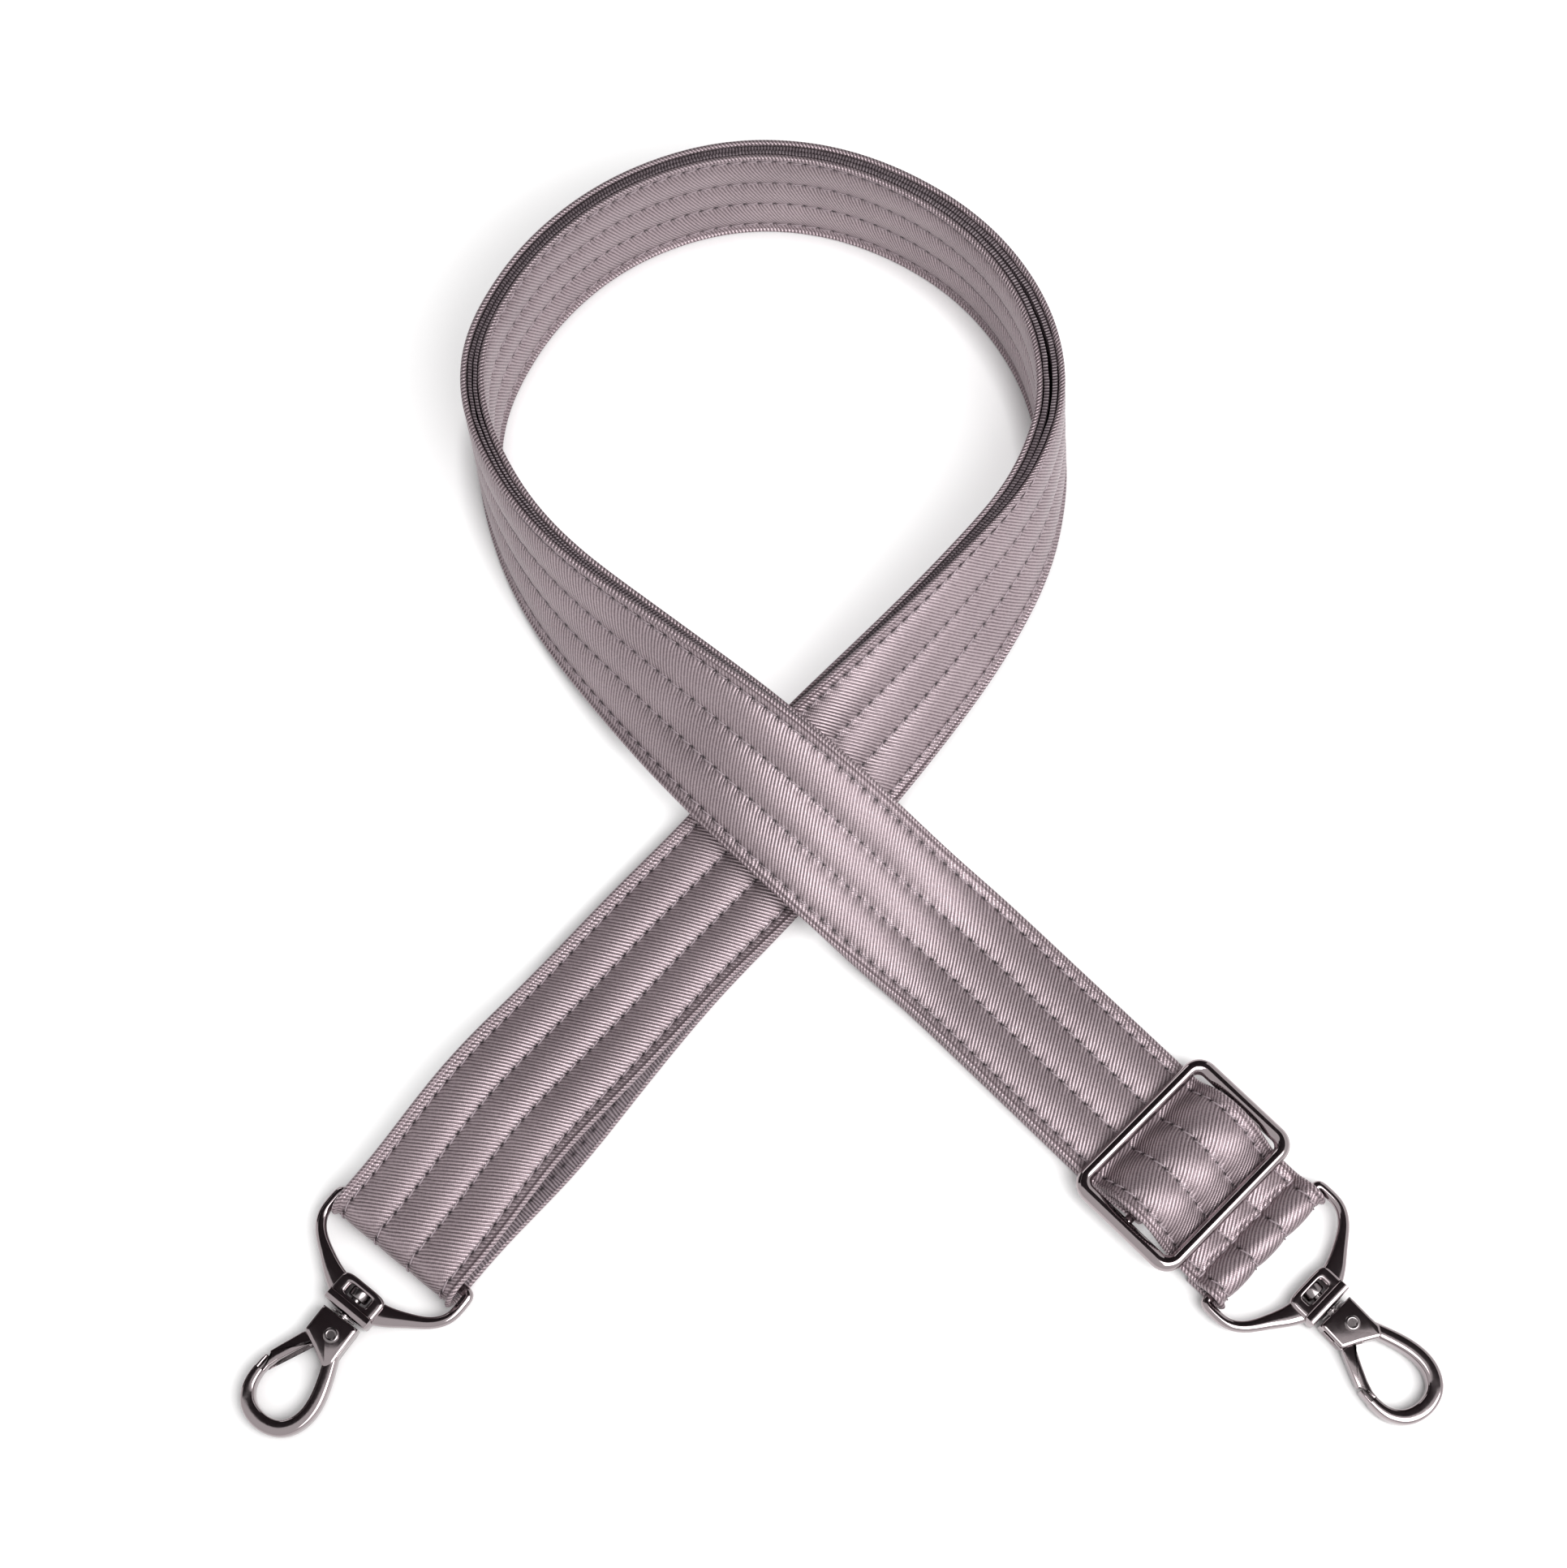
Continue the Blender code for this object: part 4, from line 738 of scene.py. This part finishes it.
def tail_rows():
    """The band's tucked end, out to the right ring's bar, round it, and back to the cross seam."""
    inside, ring, span, sewn = WIRE + CLEAR, -RING_RUN, RING_RUN - SEAM + SEAM_TAB, LAYER + CLEAR
    drop = LAYER + 2 * inside - sewn
    rows = [(ring + span * share, LAYER) for share in (1.30, 1.00, 0.55, 0.18)]
    rows += arc_rows(inside, ring, LAYER + inside, -90.0, -270.0, 8)
    back = ((0.22, 0.78), (0.50, 0.18), (0.76, 0.0), (0.98, 0.0), (1.25, 0.0))
    return rows + [(ring + span * along, sewn + drop * share) for along, share in back]


def left_fold_rows():
    """Half turn of the inside face round the left ring's bar."""
    inside = LEFT_FOLD_RADIUS - LAYER / 2
    height, quarter = LAYER + inside, np.pi * inside / 2
    lead = (1.40, 1.00, 0.60, 0.25)
    rows = [(-quarter * share, height + inside) for share in lead]
    rows += arc_rows(inside, 0.0, height, 90.0, -90.0, 8)
    return rows + [(-quarter * share, height - inside) for share in reversed(lead)]


def clip_run(path, low, high):
    """The part of an upright path between two runs, in its own order, with exact ends."""
    run = path[:, 9]
    order = np.argsort(run, kind="stable")
    ends = read_at([low, high], run[order], path[order])
    return np.vstack([ends[:1], path[(run > low) & (run < high)], ends[1:]])


travel, left = heading(SLIDER_HEADING)
middle = np.append(SLIDER_PLACE, 0.0) + SHIFT
wave = upright(SLIDER_PLACE, SLIDER_HEADING, wave_rows())
tail = upright(SLIDER_PLACE, SLIDER_HEADING, tail_rows())
fold = upright(LEFT_RING, LEFT_HEADING, left_fold_rows())
print("wave crest at", round(wave[:, 2].max() / MM, 1), "mm")

# %% Join the line, and measure it
tail_top = -SEAM + SEAM_TAB
hook_side = np.vstack([tail[tail[:, 9] <= tail_top], clip_run(wave, tail_top, HIDDEN_CUT)])
run_part = clip_run(wave, HIDDEN_CUT, SLIDER_RUN - 1e-5)
round_fold = fold[fold[:, 9] > 0]
for path in (hook_side, run_part, round_fold):
    path[:, 9] = 0.0
gap = np.sum((outer_line - inner_line) * band_normals, axis=1)
together = 1 - smooth((gap - 3 * MM) / (2 * MM))
lining_fill = np.clip(gap - 0.3 * MM, 0, 1.6 * MM) / 2 * together
outer_loop = np.column_stack([outer_line, band_across, band_normals, lining_fill])
inner_loop = np.column_stack([inner_line, band_across, -band_normals, lining_fill])
flat_run = np.linspace(SLIDER_RUN, END_REACH + CLEAR, 60)[1:, None]
flat_line = middle + travel * flat_run + UP * LAYER
flat_part = np.hstack([flat_line, np.tile([*left, *-UP, 0.0], (len(flat_line), 1))])
outer_path = np.vstack([run_part, outer_loop[:-1], round_fold])
return_path = np.vstack([inner_loop[::-1], flat_part])

for label, path in (("hook side", hook_side), ("outer", outer_path), ("return", return_path)):
    print(label, "layer:", round(distance_along(path[:, :3])[-1] / MM), "mm")

# %% Facing, backing and stitches of a stretch
def stations(path, start, pitch, top=0.0):
    """Even stations of a path, its directions made unit vectors again, and the place of each along the
    band, measured on a line that lies top above the path."""
    at = distance_along(path[:, :3])
    even = np.linspace(0, at[-1], int(round(at[-1] / pitch)) + 1)
    line, across, normals, fill = np.split(read_at(even, at, path), [3, 6, 9], axis=1)
    across, normals = unit(across), unit(normals)
    return line, across, normals, fill[:, 0], start + distance_along(line + normals * top)


def cloth_piece(name, rings, along, measure, material):
    """A closed tube of cloth whose UV map is (place along the band, place round it) in mm."""
    uv = np.stack(np.broadcast_arrays(along[:, None], measure), -1).reshape(-1, 2) / MM
    return outward(mesh_piece(name, *tube_mesh(rings), material, uv, 50.0))


def stretch(name, path, start, pitch, puff=np.ones_like, seam=None):
    """Facing, backing and stitches of one stretch of the band, from its inside face."""
    line, across, normals, fill, along = stations(path, start, pitch, VALLEY)
    puffs = puff(along)
    rings, measure = facing_rings(line, across, normals, along, puffs, seam)
    facing = cloth_piece(name + "_facing", rings, along, measure, SATIN)
    rings, measure = backing_rings(line, across, normals, along, fill)
    backing = cloth_piece(name + "_backing", rings, along, measure, LINING)
    stitches = stitch_rows(name + "_stitches", line, across, normals, along, puffs, seam)
    for piece, slot in ((facing, "satin"), (backing, "lining"), (stitches, "thread")):
        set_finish(piece, slot)
    return [facing, backing, stitches]


def layer_nodes(prefix, part):
    """Names of a layer's solids along the loop."""
    return [f"{prefix}_{place}_{part}" for place in ("upper_leg", "loop", "lower_leg")]


line, *_, along = stations(hook_side, 0.0, FINE_STATION, VALLEY)
run = (line - middle) @ travel
turn = int(np.argmin(run))
turn_along, hook_end = along[turn], along[-1]
seam_along = float(np.interp(-SEAM, run[turn:], along[turn:]))
line, *_, along = stations(outer_path, hook_end, STATION, VALLEY)
fold_along, outer_end = along[int(np.argmax(line @ heading(LEFT_HEADING)[0]))], along[-1]
print("tail turns at", round(turn_along / MM, 1), "mm; cross seam at", round(seam_along / MM, 1), "mm")


def flattened(place, share, reach):
    """Padding that loses a share of its swell where the band bends round a ring's bar."""
    return lambda along: 1 - share * np.exp(-((along - place) / reach) ** 2)


hook_puff, outer_puff = flattened(turn_along, 0.65, 5 * MM), flattened(fold_along, 0.8, 9 * MM)
hook_pieces = stretch("hook_side", hook_side, 0.0, FINE_STATION, hook_puff, seam_along)
outer_pieces = stretch("outer_layer", outer_path, hook_end, STATION, outer_puff)
return_pieces = stretch("return_layer", return_path, outer_end, STATION)
for part, k in (("facing", 0), ("backing", 1)):
    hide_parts(f"tail_{part}", f"slider_wave_{part}")
    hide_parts(f"slider_run_{part}", f"left_fold_{part}", *layer_nodes("outer", part))
    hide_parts(f"return_slider_run_{part}", *layer_nodes("return", part))
for pieces, near, far in ((hook_pieces, -10.0, -19.4), (outer_pieces, 17.0, 60.0),
                          (return_pieces, 14.0, 60.0)):
    for piece in pieces:
        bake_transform(piece)
print("triangles:", sum(len(p.data.polygons) * 2 for p in hook_pieces + outer_pieces + return_pieces))

# %% [markdown]
# ## End loop and cross seam
# The band's other end is thinned, wrapped round the slider's centre bar and sewn to itself. It is a
# plain ribbon with a rounded section. The cross seam holds the tail with nine larger stitches.

# %% End loop
def end_loop_rows():
    """Up from the sewn end, round the centre bar, and back down on top of itself."""
    half = END_THICK / 2
    radius, low = CENTRE_BAR + CLEAR + half, half + CLEAR / 2
    sewn = low + END_THICK + CLEAR
    up, down = SLIDER_Z - radius - low, SLIDER_Z + radius - sewn
    out = ((1.24, 0), (1.0, 0), (0.76, 0), (0.45, 0.45), (0.2, 0.945))
    rows = [(END_REACH * a, low + up * b) for a, b in out]
    rows += arc_rows(radius, 0.0, SLIDER_Z, -100.0, -260.0, 5)
    back = ((0.22, 0.918), (0.45, 0.389), (0.70, 0.093), (1.00, 0.0), (1.30, -0.093))
    return rows + [(END_REACH * a, sewn + down * b) for a, b in back]


def ribbon(name, path, thickness, width, pitch, material):
    """A rounded ribbon centred on the path."""
    line, across, normals, _, along = stations(path, 0.0, pitch)
    a, h = strip_section(width / 2, thickness / 2, 18, 7)
    return cloth_piece(name, sweep(line, across, normals, a, h[None]), along, a[None], material)


end_path = upright(SLIDER_PLACE, SLIDER_HEADING, end_loop_rows())
end_piece = ribbon("end_loop_cloth", end_path, END_THICK, WIDTH - 0.8 * MM, FINE_STATION, SATIN)
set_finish(end_piece, "satin")
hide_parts("end_loop")
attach(end_piece, "slider")
print("end loop:", len(end_piece.data.polygons), "faces")

# %% Cross seam
SEAM_STITCHES, SEAM_STEP, SEAM_REACH, SEAM_THREAD = 9, 4.0 * MM, 1.7 * MM, 0.27 * MM
seam_centre = middle - travel * SEAM + UP * (LAYER + CLEAR + VALLEY * 0.85)
across_places = (np.arange(SEAM_STITCHES) - SEAM_STITCHES // 2) * SEAM_STEP
centres = seam_centre + left * across_places[:, None]
ways, ups = (np.tile(way, (SEAM_STITCHES, 1)) for way in (left, UP))
points, faces, uv = stitch_mesh(centres, ways, ups, SEAM_REACH, SEAM_THREAD)
seam_piece = mesh_piece("cross_seam_stitches", points, faces, thread_material, uv, 60.0)
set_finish(seam_piece, "thread")
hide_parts("cross_seam_thread")
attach(seam_piece, "band")
print("cross seam:", len(across_places), "stitches")

# %% [markdown]
# ## Polished dark nickel
# The hardware is cast zinc alloy, barrel polished and plated with dark "gunmetal" nickel. To the eye it
# is a dark mirror with a warm cast: fully metallic, low roughness, and a very faint orange-peel bump
# left by polishing. The pins, rivets and washers are zinc plated steel, a little duller. The ripples
# are about 1.4 mm apart and a few thousandths of a millimetre deep.

# %% Metal materials
RIPPLE = 1.43 * MM


def plated(name, colour, roughness, ripple_mm):
    """A polished plated metal with a faint ripple and a small change of roughness over it."""
    material, tree, shader = new_material(name)
    place = node(tree, "TexCoord", out="Object")
    ripple = noise(tree, place, RIPPLE, 3.0)
    wear = node(tree, "MapRange", ripple, named={"To Min": roughness * 0.7, "To Max": roughness * 1.4})
    connect(shader, {"Base Color": linear(colour), "Metallic": 1.0, "Roughness": wear,
                     "Normal": relief(tree, ripple, ripple_mm * MM)})
    return material


NICKEL = plated("dark_nickel_plate", "9A9092", 0.085, 0.005)
STEEL = plated("zinc_plated_steel", "7F797A", 0.22, 0.008)
CAST_FINISH, STEEL_FINISH = ("gunmetal", NICKEL), ("steel", STEEL)
print("metals:", NICKEL.name, STEEL.name)

# %% [markdown]
# ## How the metal is shaped
# Three small builders make all the hardware. A bar is a section swept along a flat route: the section
# is a superellipse, so the same formula gives round wire and soft-edged flats. A plate is a flat
# outline whose edge is rounded over. A turned piece is a profile spun about an axis. Each works in the
# piece's own joint frame and is then set in place, so it lies where its CAD solid lies.

# %% Metal builders
def joint_frame(origin, x_axis, z_axis):
    """4x4 frame from an origin and two axes."""
    x, z = unit(np.array([x_axis, z_axis], dtype=float))
    made = np.eye(4)
    made[:3, 0], made[:3, 1], made[:3, 2], made[:3, 3] = x, np.cross(z, x), z, origin
    return made


def placed(points, at):
    """Points in millimetres of a joint frame, as metres in the model."""
    return np.asarray(points) * MM @ at[:3, :3].T + at[:3, 3]


def metal_piece(name, mesh, at, body, *nodes, finish=CAST_FINISH):
    """Finish a metal piece: placed, faces outwards, riding on its body, standing for its CAD nodes."""
    points, faces = mesh
    slot, material = finish
    piece = outward(mesh_piece(name, placed(points, at), faces, material, None, 38.0))
    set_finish(piece, slot)
    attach(piece, body)
    if nodes:
        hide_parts(*nodes)
    return piece


def bar_mesh(route, widths, thicknesses, powers, closed=False, sides=28, dome=0.0):
    """Superellipse sections along a flat route: |x/a|^p + |z/b|^p = 1 at each station. Open ends
    close over a dome, where the section shrinks as a quarter circle."""
    route = np.asarray(route, dtype=float)
    way = unit(np.roll(route, -1, 0) - np.roll(route, 1, 0) if closed else np.gradient(route, axis=0))
    sizes = [np.broadcast_to(size, len(route)) for size in (widths, thicknesses, powers)]
    values = np.column_stack([route, way, *sizes])
    if dome:
        turn = np.linspace(0, np.pi / 2, 6)[1:, None] * 0.97
        first, last = np.tile(values[0], (5, 1)), np.tile(values[-1], (5, 1))
        first[:, :2] -= first[:, 2:4] * (dome * np.sin(turn))
        last[:, :2] += last[:, 2:4] * (dome * np.sin(turn))
        first[:, 4:6] *= np.cos(turn)
        last[:, 4:6] *= np.cos(turn)
        values = np.vstack([first[::-1], values, last])
    theta = np.linspace(0, 2 * np.pi, sides, endpoint=False)
    power = 2 / values[:, 6:7]
    a = values[:, 4:5] / 2 * np.sign(np.cos(theta)) * np.abs(np.cos(theta)) ** power
    b = values[:, 5:6] / 2 * np.sign(np.sin(theta)) * np.abs(np.sin(theta)) ** power
    x = values[:, 0:1] + values[:, 3:4] * a
    y = values[:, 1:2] - values[:, 2:3] * a
    rings = np.stack([x, y, b], axis=-1)
    return loop_mesh(rings) if closed else tube_mesh(rings)


def turned_mesh(profile, along_x=True, sides=48):
    """Profile rows of (radius, place) spun about local X, or Z, with flat ends."""
    profile = np.asarray(profile, dtype=float)
    theta = np.linspace(0, 2 * np.pi, sides, endpoint=False)
    around = circle(theta)[None] * profile[:, :1, None]
    reach = np.broadcast_to(profile[:, 1:2], around.shape[:2])
    one, two = around[..., 0], around[..., 1]
    return tube_mesh(np.stack([reach, one, two] if along_x else [one, two, reach], axis=-1))


def filleted(outline, radius, steps):
    """A polygon with rounded corners: each corner becomes an arc tangent to both its sides."""
    outline = np.asarray(outline, dtype=float)
    found = []
    for k, corner in enumerate(outline):
        one, two = outline[k - 1] - corner, outline[(k + 1) % len(outline)] - corner
        room = min(np.linalg.norm(one), np.linalg.norm(two)) * 0.48
        one, two = unit(one), unit(two)
        half = np.arccos(np.clip(one @ two, -1, 1)) / 2
        reach = min(radius / np.tan(half), room)
        t = np.linspace(0, 1, steps)[:, None]
        found.append(corner + one * reach * (1 - t) ** 2 + two * reach * t**2)
    return np.vstack(found)


def superellipse(centre, half, power):
    """Closed outline |x/a|^p + |y/b|^p = 1 about a centre, always of 96 points, so two outlines match."""
    wave = circle(np.linspace(0, 2 * np.pi, 96, endpoint=False))
    return np.array(centre) + np.array(half) * np.sign(wave) * np.abs(wave) ** (2 / power)


def edge_rings(outline, low, high, round_in, round_down, inward=1.0):
    """Loops of an outline from its lower face to its upper face, rounded over at both edges."""
    both = unit(outline - np.roll(outline, 1, 0)) + unit(np.roll(outline, -1, 0) - outline)
    normal = unit(np.stack([-both[:, 1], both[:, 0]], axis=1))
    area = np.sum(outline[:, 0] * np.roll(outline[:, 1], -1) - outline[:, 1] * np.roll(outline[:, 0], -1))
    normal *= np.sign(area) * inward
    turn = np.linspace(0, np.pi / 2, 6)
    inset = round_in * (1 - np.cos(turn))
    drop = round_down * (1 - np.sin(turn))
    levels = [(d, low + e) for d, e in zip(inset[::-1], drop[::-1])]
    levels += [(d, high - e) for d, e in zip(inset, drop)]
    loops = [np.column_stack([outline + normal * d, np.full(len(outline), z)]) for d, z in levels]
    return np.stack(loops)


def plate_mesh(outline, low, high, round_in, round_down):
    """A flat plate with rounded-over edges."""
    return tube_mesh(edge_rings(np.asarray(outline, dtype=float), low, high, round_in, round_down))


def window_mesh(outer, inner, low, high, round_in, round_down):
    """A plate with a window: the outer edge up, the inner edge down, in one closed skin."""
    up = edge_rings(outer, low, high, round_in, round_down)
    down = edge_rings(inner, low, high, round_in * 0.5, round_down * 0.5, -1.0)[::-1]
    return loop_mesh(np.concatenate([up, down]))


print("an outline of a soft square has", len(superellipse((0, 0), (1, 1), 4.0)), "points")

# %% [markdown]
# ## Slider
# The slider is a rectangle of cast bar with rounded corners and a thin rod across its middle, which
# the band's end is sewn round. The bar is round in section, a little wider on the two rails beside
# the band. It could be a bevelled curve, but a swept section lets its width change along the way.

# %% Slider
BAR_ROUND = 3.6
slider_frame_at = joint_frame(middle + UP * SLIDER_Z, travel, UP)
RAIL_EXTRA, CORNER = 0.5, 3.6
half_run, half_side = (SLIDER_LONG - BAR_ROUND) / 2, (SLIDER_WIDE - BAR_ROUND - RAIL_EXTRA) / 2
quarter = np.radians(np.linspace(0, 90, 13))
arc = circle(quarter, CORNER)
inner_corner = np.array([half_run - CORNER, half_side - CORNER])
turns = ((1, 1), (-1, 1), (-1, -1), (1, -1))
route = np.vstack([(inner_corner + (arc if k % 2 == 0 else arc[::-1])) * turn
                   for k, turn in enumerate(turns)])
rail = smooth((np.abs(route[:, 1]) - half_side + CORNER) / CORNER)
bow = bar_mesh(route, BAR_ROUND + RAIL_EXTRA * rail, BAR_ROUND, 2.0, closed=True, sides=36)
metal_piece("slider_bow", bow, slider_frame_at, "slider", "slider_frame")
rod = turned_mesh([(1.2, -half_side), (1.2, half_side)], along_x=False, sides=32)
rod_at = joint_frame(middle + UP * SLIDER_Z, travel, np.cross(UP, travel))
metal_piece("slider_rod", rod, rod_at, "slider", "slider_centre_bar")
print("slider", SLIDER_LONG, "x", SLIDER_WIDE, "mm")

# %% [markdown]
# ## Ring, swivel and snap hook
# Each end carries a ring whose two arms flare into a pierced base. A headed pin turns in the base, a
# washer keeps the hook off it, and the hook is one casting with a shoulder, a curved arm and a nose. A
# sprung gate turns on a rivet and laps into the nose.

# %% Ring and base
RING_ARMS = np.array([(0.000, 0.00, 2.7), (0.000, 6.26, 2.7), (0.000, 13.55, 2.7), (0.000, 18.77, 2.7),
                      (-0.224, 20.85, 2.7), (3.136, 20.85, 2.7), (7.392, 20.85, 2.7), (11.20, 17.93, 2.8),
                      (13.89, 13.14, 3.5), (16.46, 8.76, 5.0), (17.92, 4.60, 6.4), (17.92, 3.20, 6.8)])
POWER_ALONG = np.array([2.2, 2.2, 2.2, 2.2, 2.2, 2.2, 2.2, 2.5, 3.0, 3.6, 4.0, 4.0])


def build_ring(side, at):
    """Bar and arms as one swept wire, open at the base, and the pierced base over its ends."""
    body = side + "_ring"
    half = np.column_stack([RING_ARMS, POWER_ALONG])
    whole = np.vstack([half[::-1], (half * [1, -1, 1, 1])[1:]])
    dense = whole_spline(whole)
    thick = 2.7 + 0.5 * smooth((dense[:, 0] - 9) / 7)
    bow = bar_mesh(dense[:, :2], dense[:, 2], thick, dense[:, 3], sides=32)
    metal_piece(side + "_ring_bow", bow, at, body, body)
    outer = superellipse((18.05, 0), (4.35, 6.7), 5.0)
    window = superellipse((17.0, 0), (1.5, 3.6), 6.0)
    base = window_mesh(outer, window, -2.4, 2.4, 0.9, 0.9)
    metal_piece(side + "_ring_base", base, at, body)
    line = np.column_stack([np.full(9, 20.75), np.linspace(-6.3, 6.3, 9)])
    collar = bar_mesh(line, 3.1, 6.0, 5.0, dome=0.5)
    metal_piece(side + "_ring_collar", collar, at, body)


print("ring:", 2 * RING_ARMS[:, 1].max() + 2.7, "mm wide over its bar")

# %% Pin, washer and hook
HOOK_ARM = np.array([(4.2, 2.6, 3.0), (5.20, 2.85, 3.2), (7.80, 3.42, 3.36), (12.03, 5.23, 3.6),
                     (16.25, 6.84, 3.76), (20.80, 7.89, 3.92), (25.35, 7.60, 4.0), (29.41, 5.13, 4.08),
                     (30.71, 1.43, 4.08), (30.71, -1.90, 4.08), (29.41, -5.70, 3.8), (26.00, -8.17, 3.2),
                     (22.6, -8.70, 2.9), (19.4, -8.55, 2.7)])
SHOULDER_BACK = [(0.0, 5.2), (6.99, 5.2), (9.75, 5.32), (12.03, 3.99)]
SHOULDER_FRONT = [(9.43, -0.76), (7.31, -5.3), (0.0, -5.2)]
RIVET = np.array([4.8, 0.9])
GATE_SWEEP = 18.75


def build_hook(side, at):
    """Pin and washer in the swivel, then the shoulder with its gate slot, and the arm with its nose."""
    body = side + "_hook"
    pin = [(0.2, -8.2), (2.2, -8.2), (2.55, -7.9), (2.6, -7.6), (2.6, -6.2), (2.5, -5.8), (2.2, -5.6),
           (1.3, -5.6), (1.3, 1.1)]
    washer = [(1.6, -0.8), (3.1, -0.8), (3.2, -0.7), (3.2, -0.4), (3.1, -0.3), (1.6, -0.3)]
    for label, profile in (("pin", pin), ("washer", washer)):
        metal_piece(f"{side}_{label}", turned_mesh(profile), at, body, f"{side}_swivel_{label}",
                    finish=STEEL_FINISH)
    outline = filleted(SHOULDER_BACK + SHOULDER_FRONT, 1.2, 8)
    arc = np.radians(np.linspace(12, 180, 24))
    room = RIVET + circle(arc, 3.3)
    core = plate_mesh(np.vstack([SHOULDER_BACK, [(9.9, 0.1)], room, [(1.5, -5.2), (0.0, -5.2)]]),
                      -1.95, 1.95, 0.1, 0.05)
    metal_piece(side + "_hook_core", core, at, body, side + "_hook_body")
    for label, low, high in (("upper", 1.85, 2.7), ("lower", -2.7, -1.85)):
        cheek = plate_mesh(outline, low, high, 0.9, 0.4)
        metal_piece(f"{side}_hook_{label}_cheek", cheek, at, body)
    dense = whole_spline(HOOK_ARM)
    inside_nose = np.arange(len(dense)) > len(dense) // 2
    reach = np.linalg.norm(dense[:, :2] - RIVET, axis=1)
    route = dense[~(inside_nose & (reach < GATE_SWEEP))]
    arm = bar_mesh(route[:, :2], route[:, 2], 4.7, 4.2, sides=40)
    metal_piece(side + "_hook_arm", arm, at, body)
    route = np.array([(23.2, -9.15, 1.4), (21.0, -9.25, 1.25), (19.0, -9.15, 1.15), (17.6, -9.0, 1.0)])
    lip = bar_mesh(route[:, :2], route[:, 2], 4.0, 3.2, sides=24, dome=0.3)
    metal_piece(side + "_hook_lip", lip, at, body)


print("hook reaches", HOOK_ARM[:, 0].max() + 2.0, "mm from the swivel")

# %% Gate and rivet
def build_gate(side, at):
    """Lever with a rounded back, a tongue that laps inside the nose, and a thin root round the rivet."""
    body = side + "_gate"
    outline = np.array([(7.64, -0.3), (8.52, -1.95), (12.84, -4.18), (16.9, -6.1), (19.5, -7.0),
                        (21.4, -7.15), (21.1, -8.15), (17.35, -8.15), (16.45, -9.15), (12.19, -7.35),
                        (8.13, -5.6), (7.64, -5.18)])
    lever = plate_mesh(filleted(outline - RIVET, 0.45, 5), -1.6, 1.6, 0.42, 0.5)
    metal_piece(side + "_gate_lever", lever, at, body, body)
    turn = np.radians(np.linspace(-60, 215, 30))
    neck = np.array([(5.2, -4.95), (9.75, -5.3), (9.75, -1.9)]) - RIVET
    root = plate_mesh(np.vstack([circle(turn, 3.0), neck]), -1.6, 0.2, 0.15, 0.15)
    metal_piece(side + "_gate_root", root, at, body)


def build_rivet(side, at):
    """Tubular rivet: a flared lip round a hollow, on both cheeks."""
    rivet_at = at.copy()
    rivet_at[:3, 3] = placed([np.append(RIVET, 0)], at)[0]
    profile = [(0.15, -2.95), (0.9, -2.95), (1.05, -3.15), (1.35, -3.25), (1.8, -3.1), (2.0, -2.8),
               (2.0, -2.68), (1.1, -2.68), (1.1, 2.68), (2.0, 2.68), (2.0, 2.8), (1.8, 3.1), (1.35, 3.25),
               (1.05, 3.15), (0.9, 2.95), (0.15, 2.95)]
    rivet = turned_mesh(profile, along_x=False, sides=40)
    metal_piece(side + "_rivet", rivet, rivet_at, side + "_hook", side + "_gate_rivet",
                finish=STEEL_FINISH)


print("gate rivet", 2 * 2.0, "mm over its lip")

# %% Both ends of the strap
joints = {joint["name"]: joint for joint in frame["joints"]}
for side in ("right", "left"):
    up_axis = joints[side + "_gate_hinge"]["axis"]
    swing = joints[side + "_ring_swing"]
    ring_at = joint_frame(swing["pos_m"], np.cross(-np.array(swing["axis"]), up_axis), up_axis)
    swivel = joints[side + "_swivel"]
    hook_at = joint_frame(swivel["pos_m"], swivel["axis"], up_axis)
    gate_at = hook_at.copy()
    gate_at[:3, 3] = joints[side + "_gate_hinge"]["pos_m"]
    build_ring(side, ring_at)
    build_hook(side, hook_at)
    build_gate(side, gate_at)
    build_rivet(side, hook_at)
    spring = frame["nodes"][side + "_gate_spring"]
    spring.material_slots[0].material = STEEL
hardware = [o.name for o in bpy.data.objects if o.name.startswith("right_") and o.get("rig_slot")]
print("hardware of the right end:", sorted(hardware))

# %% [markdown]
# ## Sizes
# The last line prints the frame's box in millimetres. The dressed strap has to fill the frame's
# box and not leave it.

# %% Size of the frame's box
print("CAD box", [[round(v / MM, 1) for v in c] for c in cad_box])
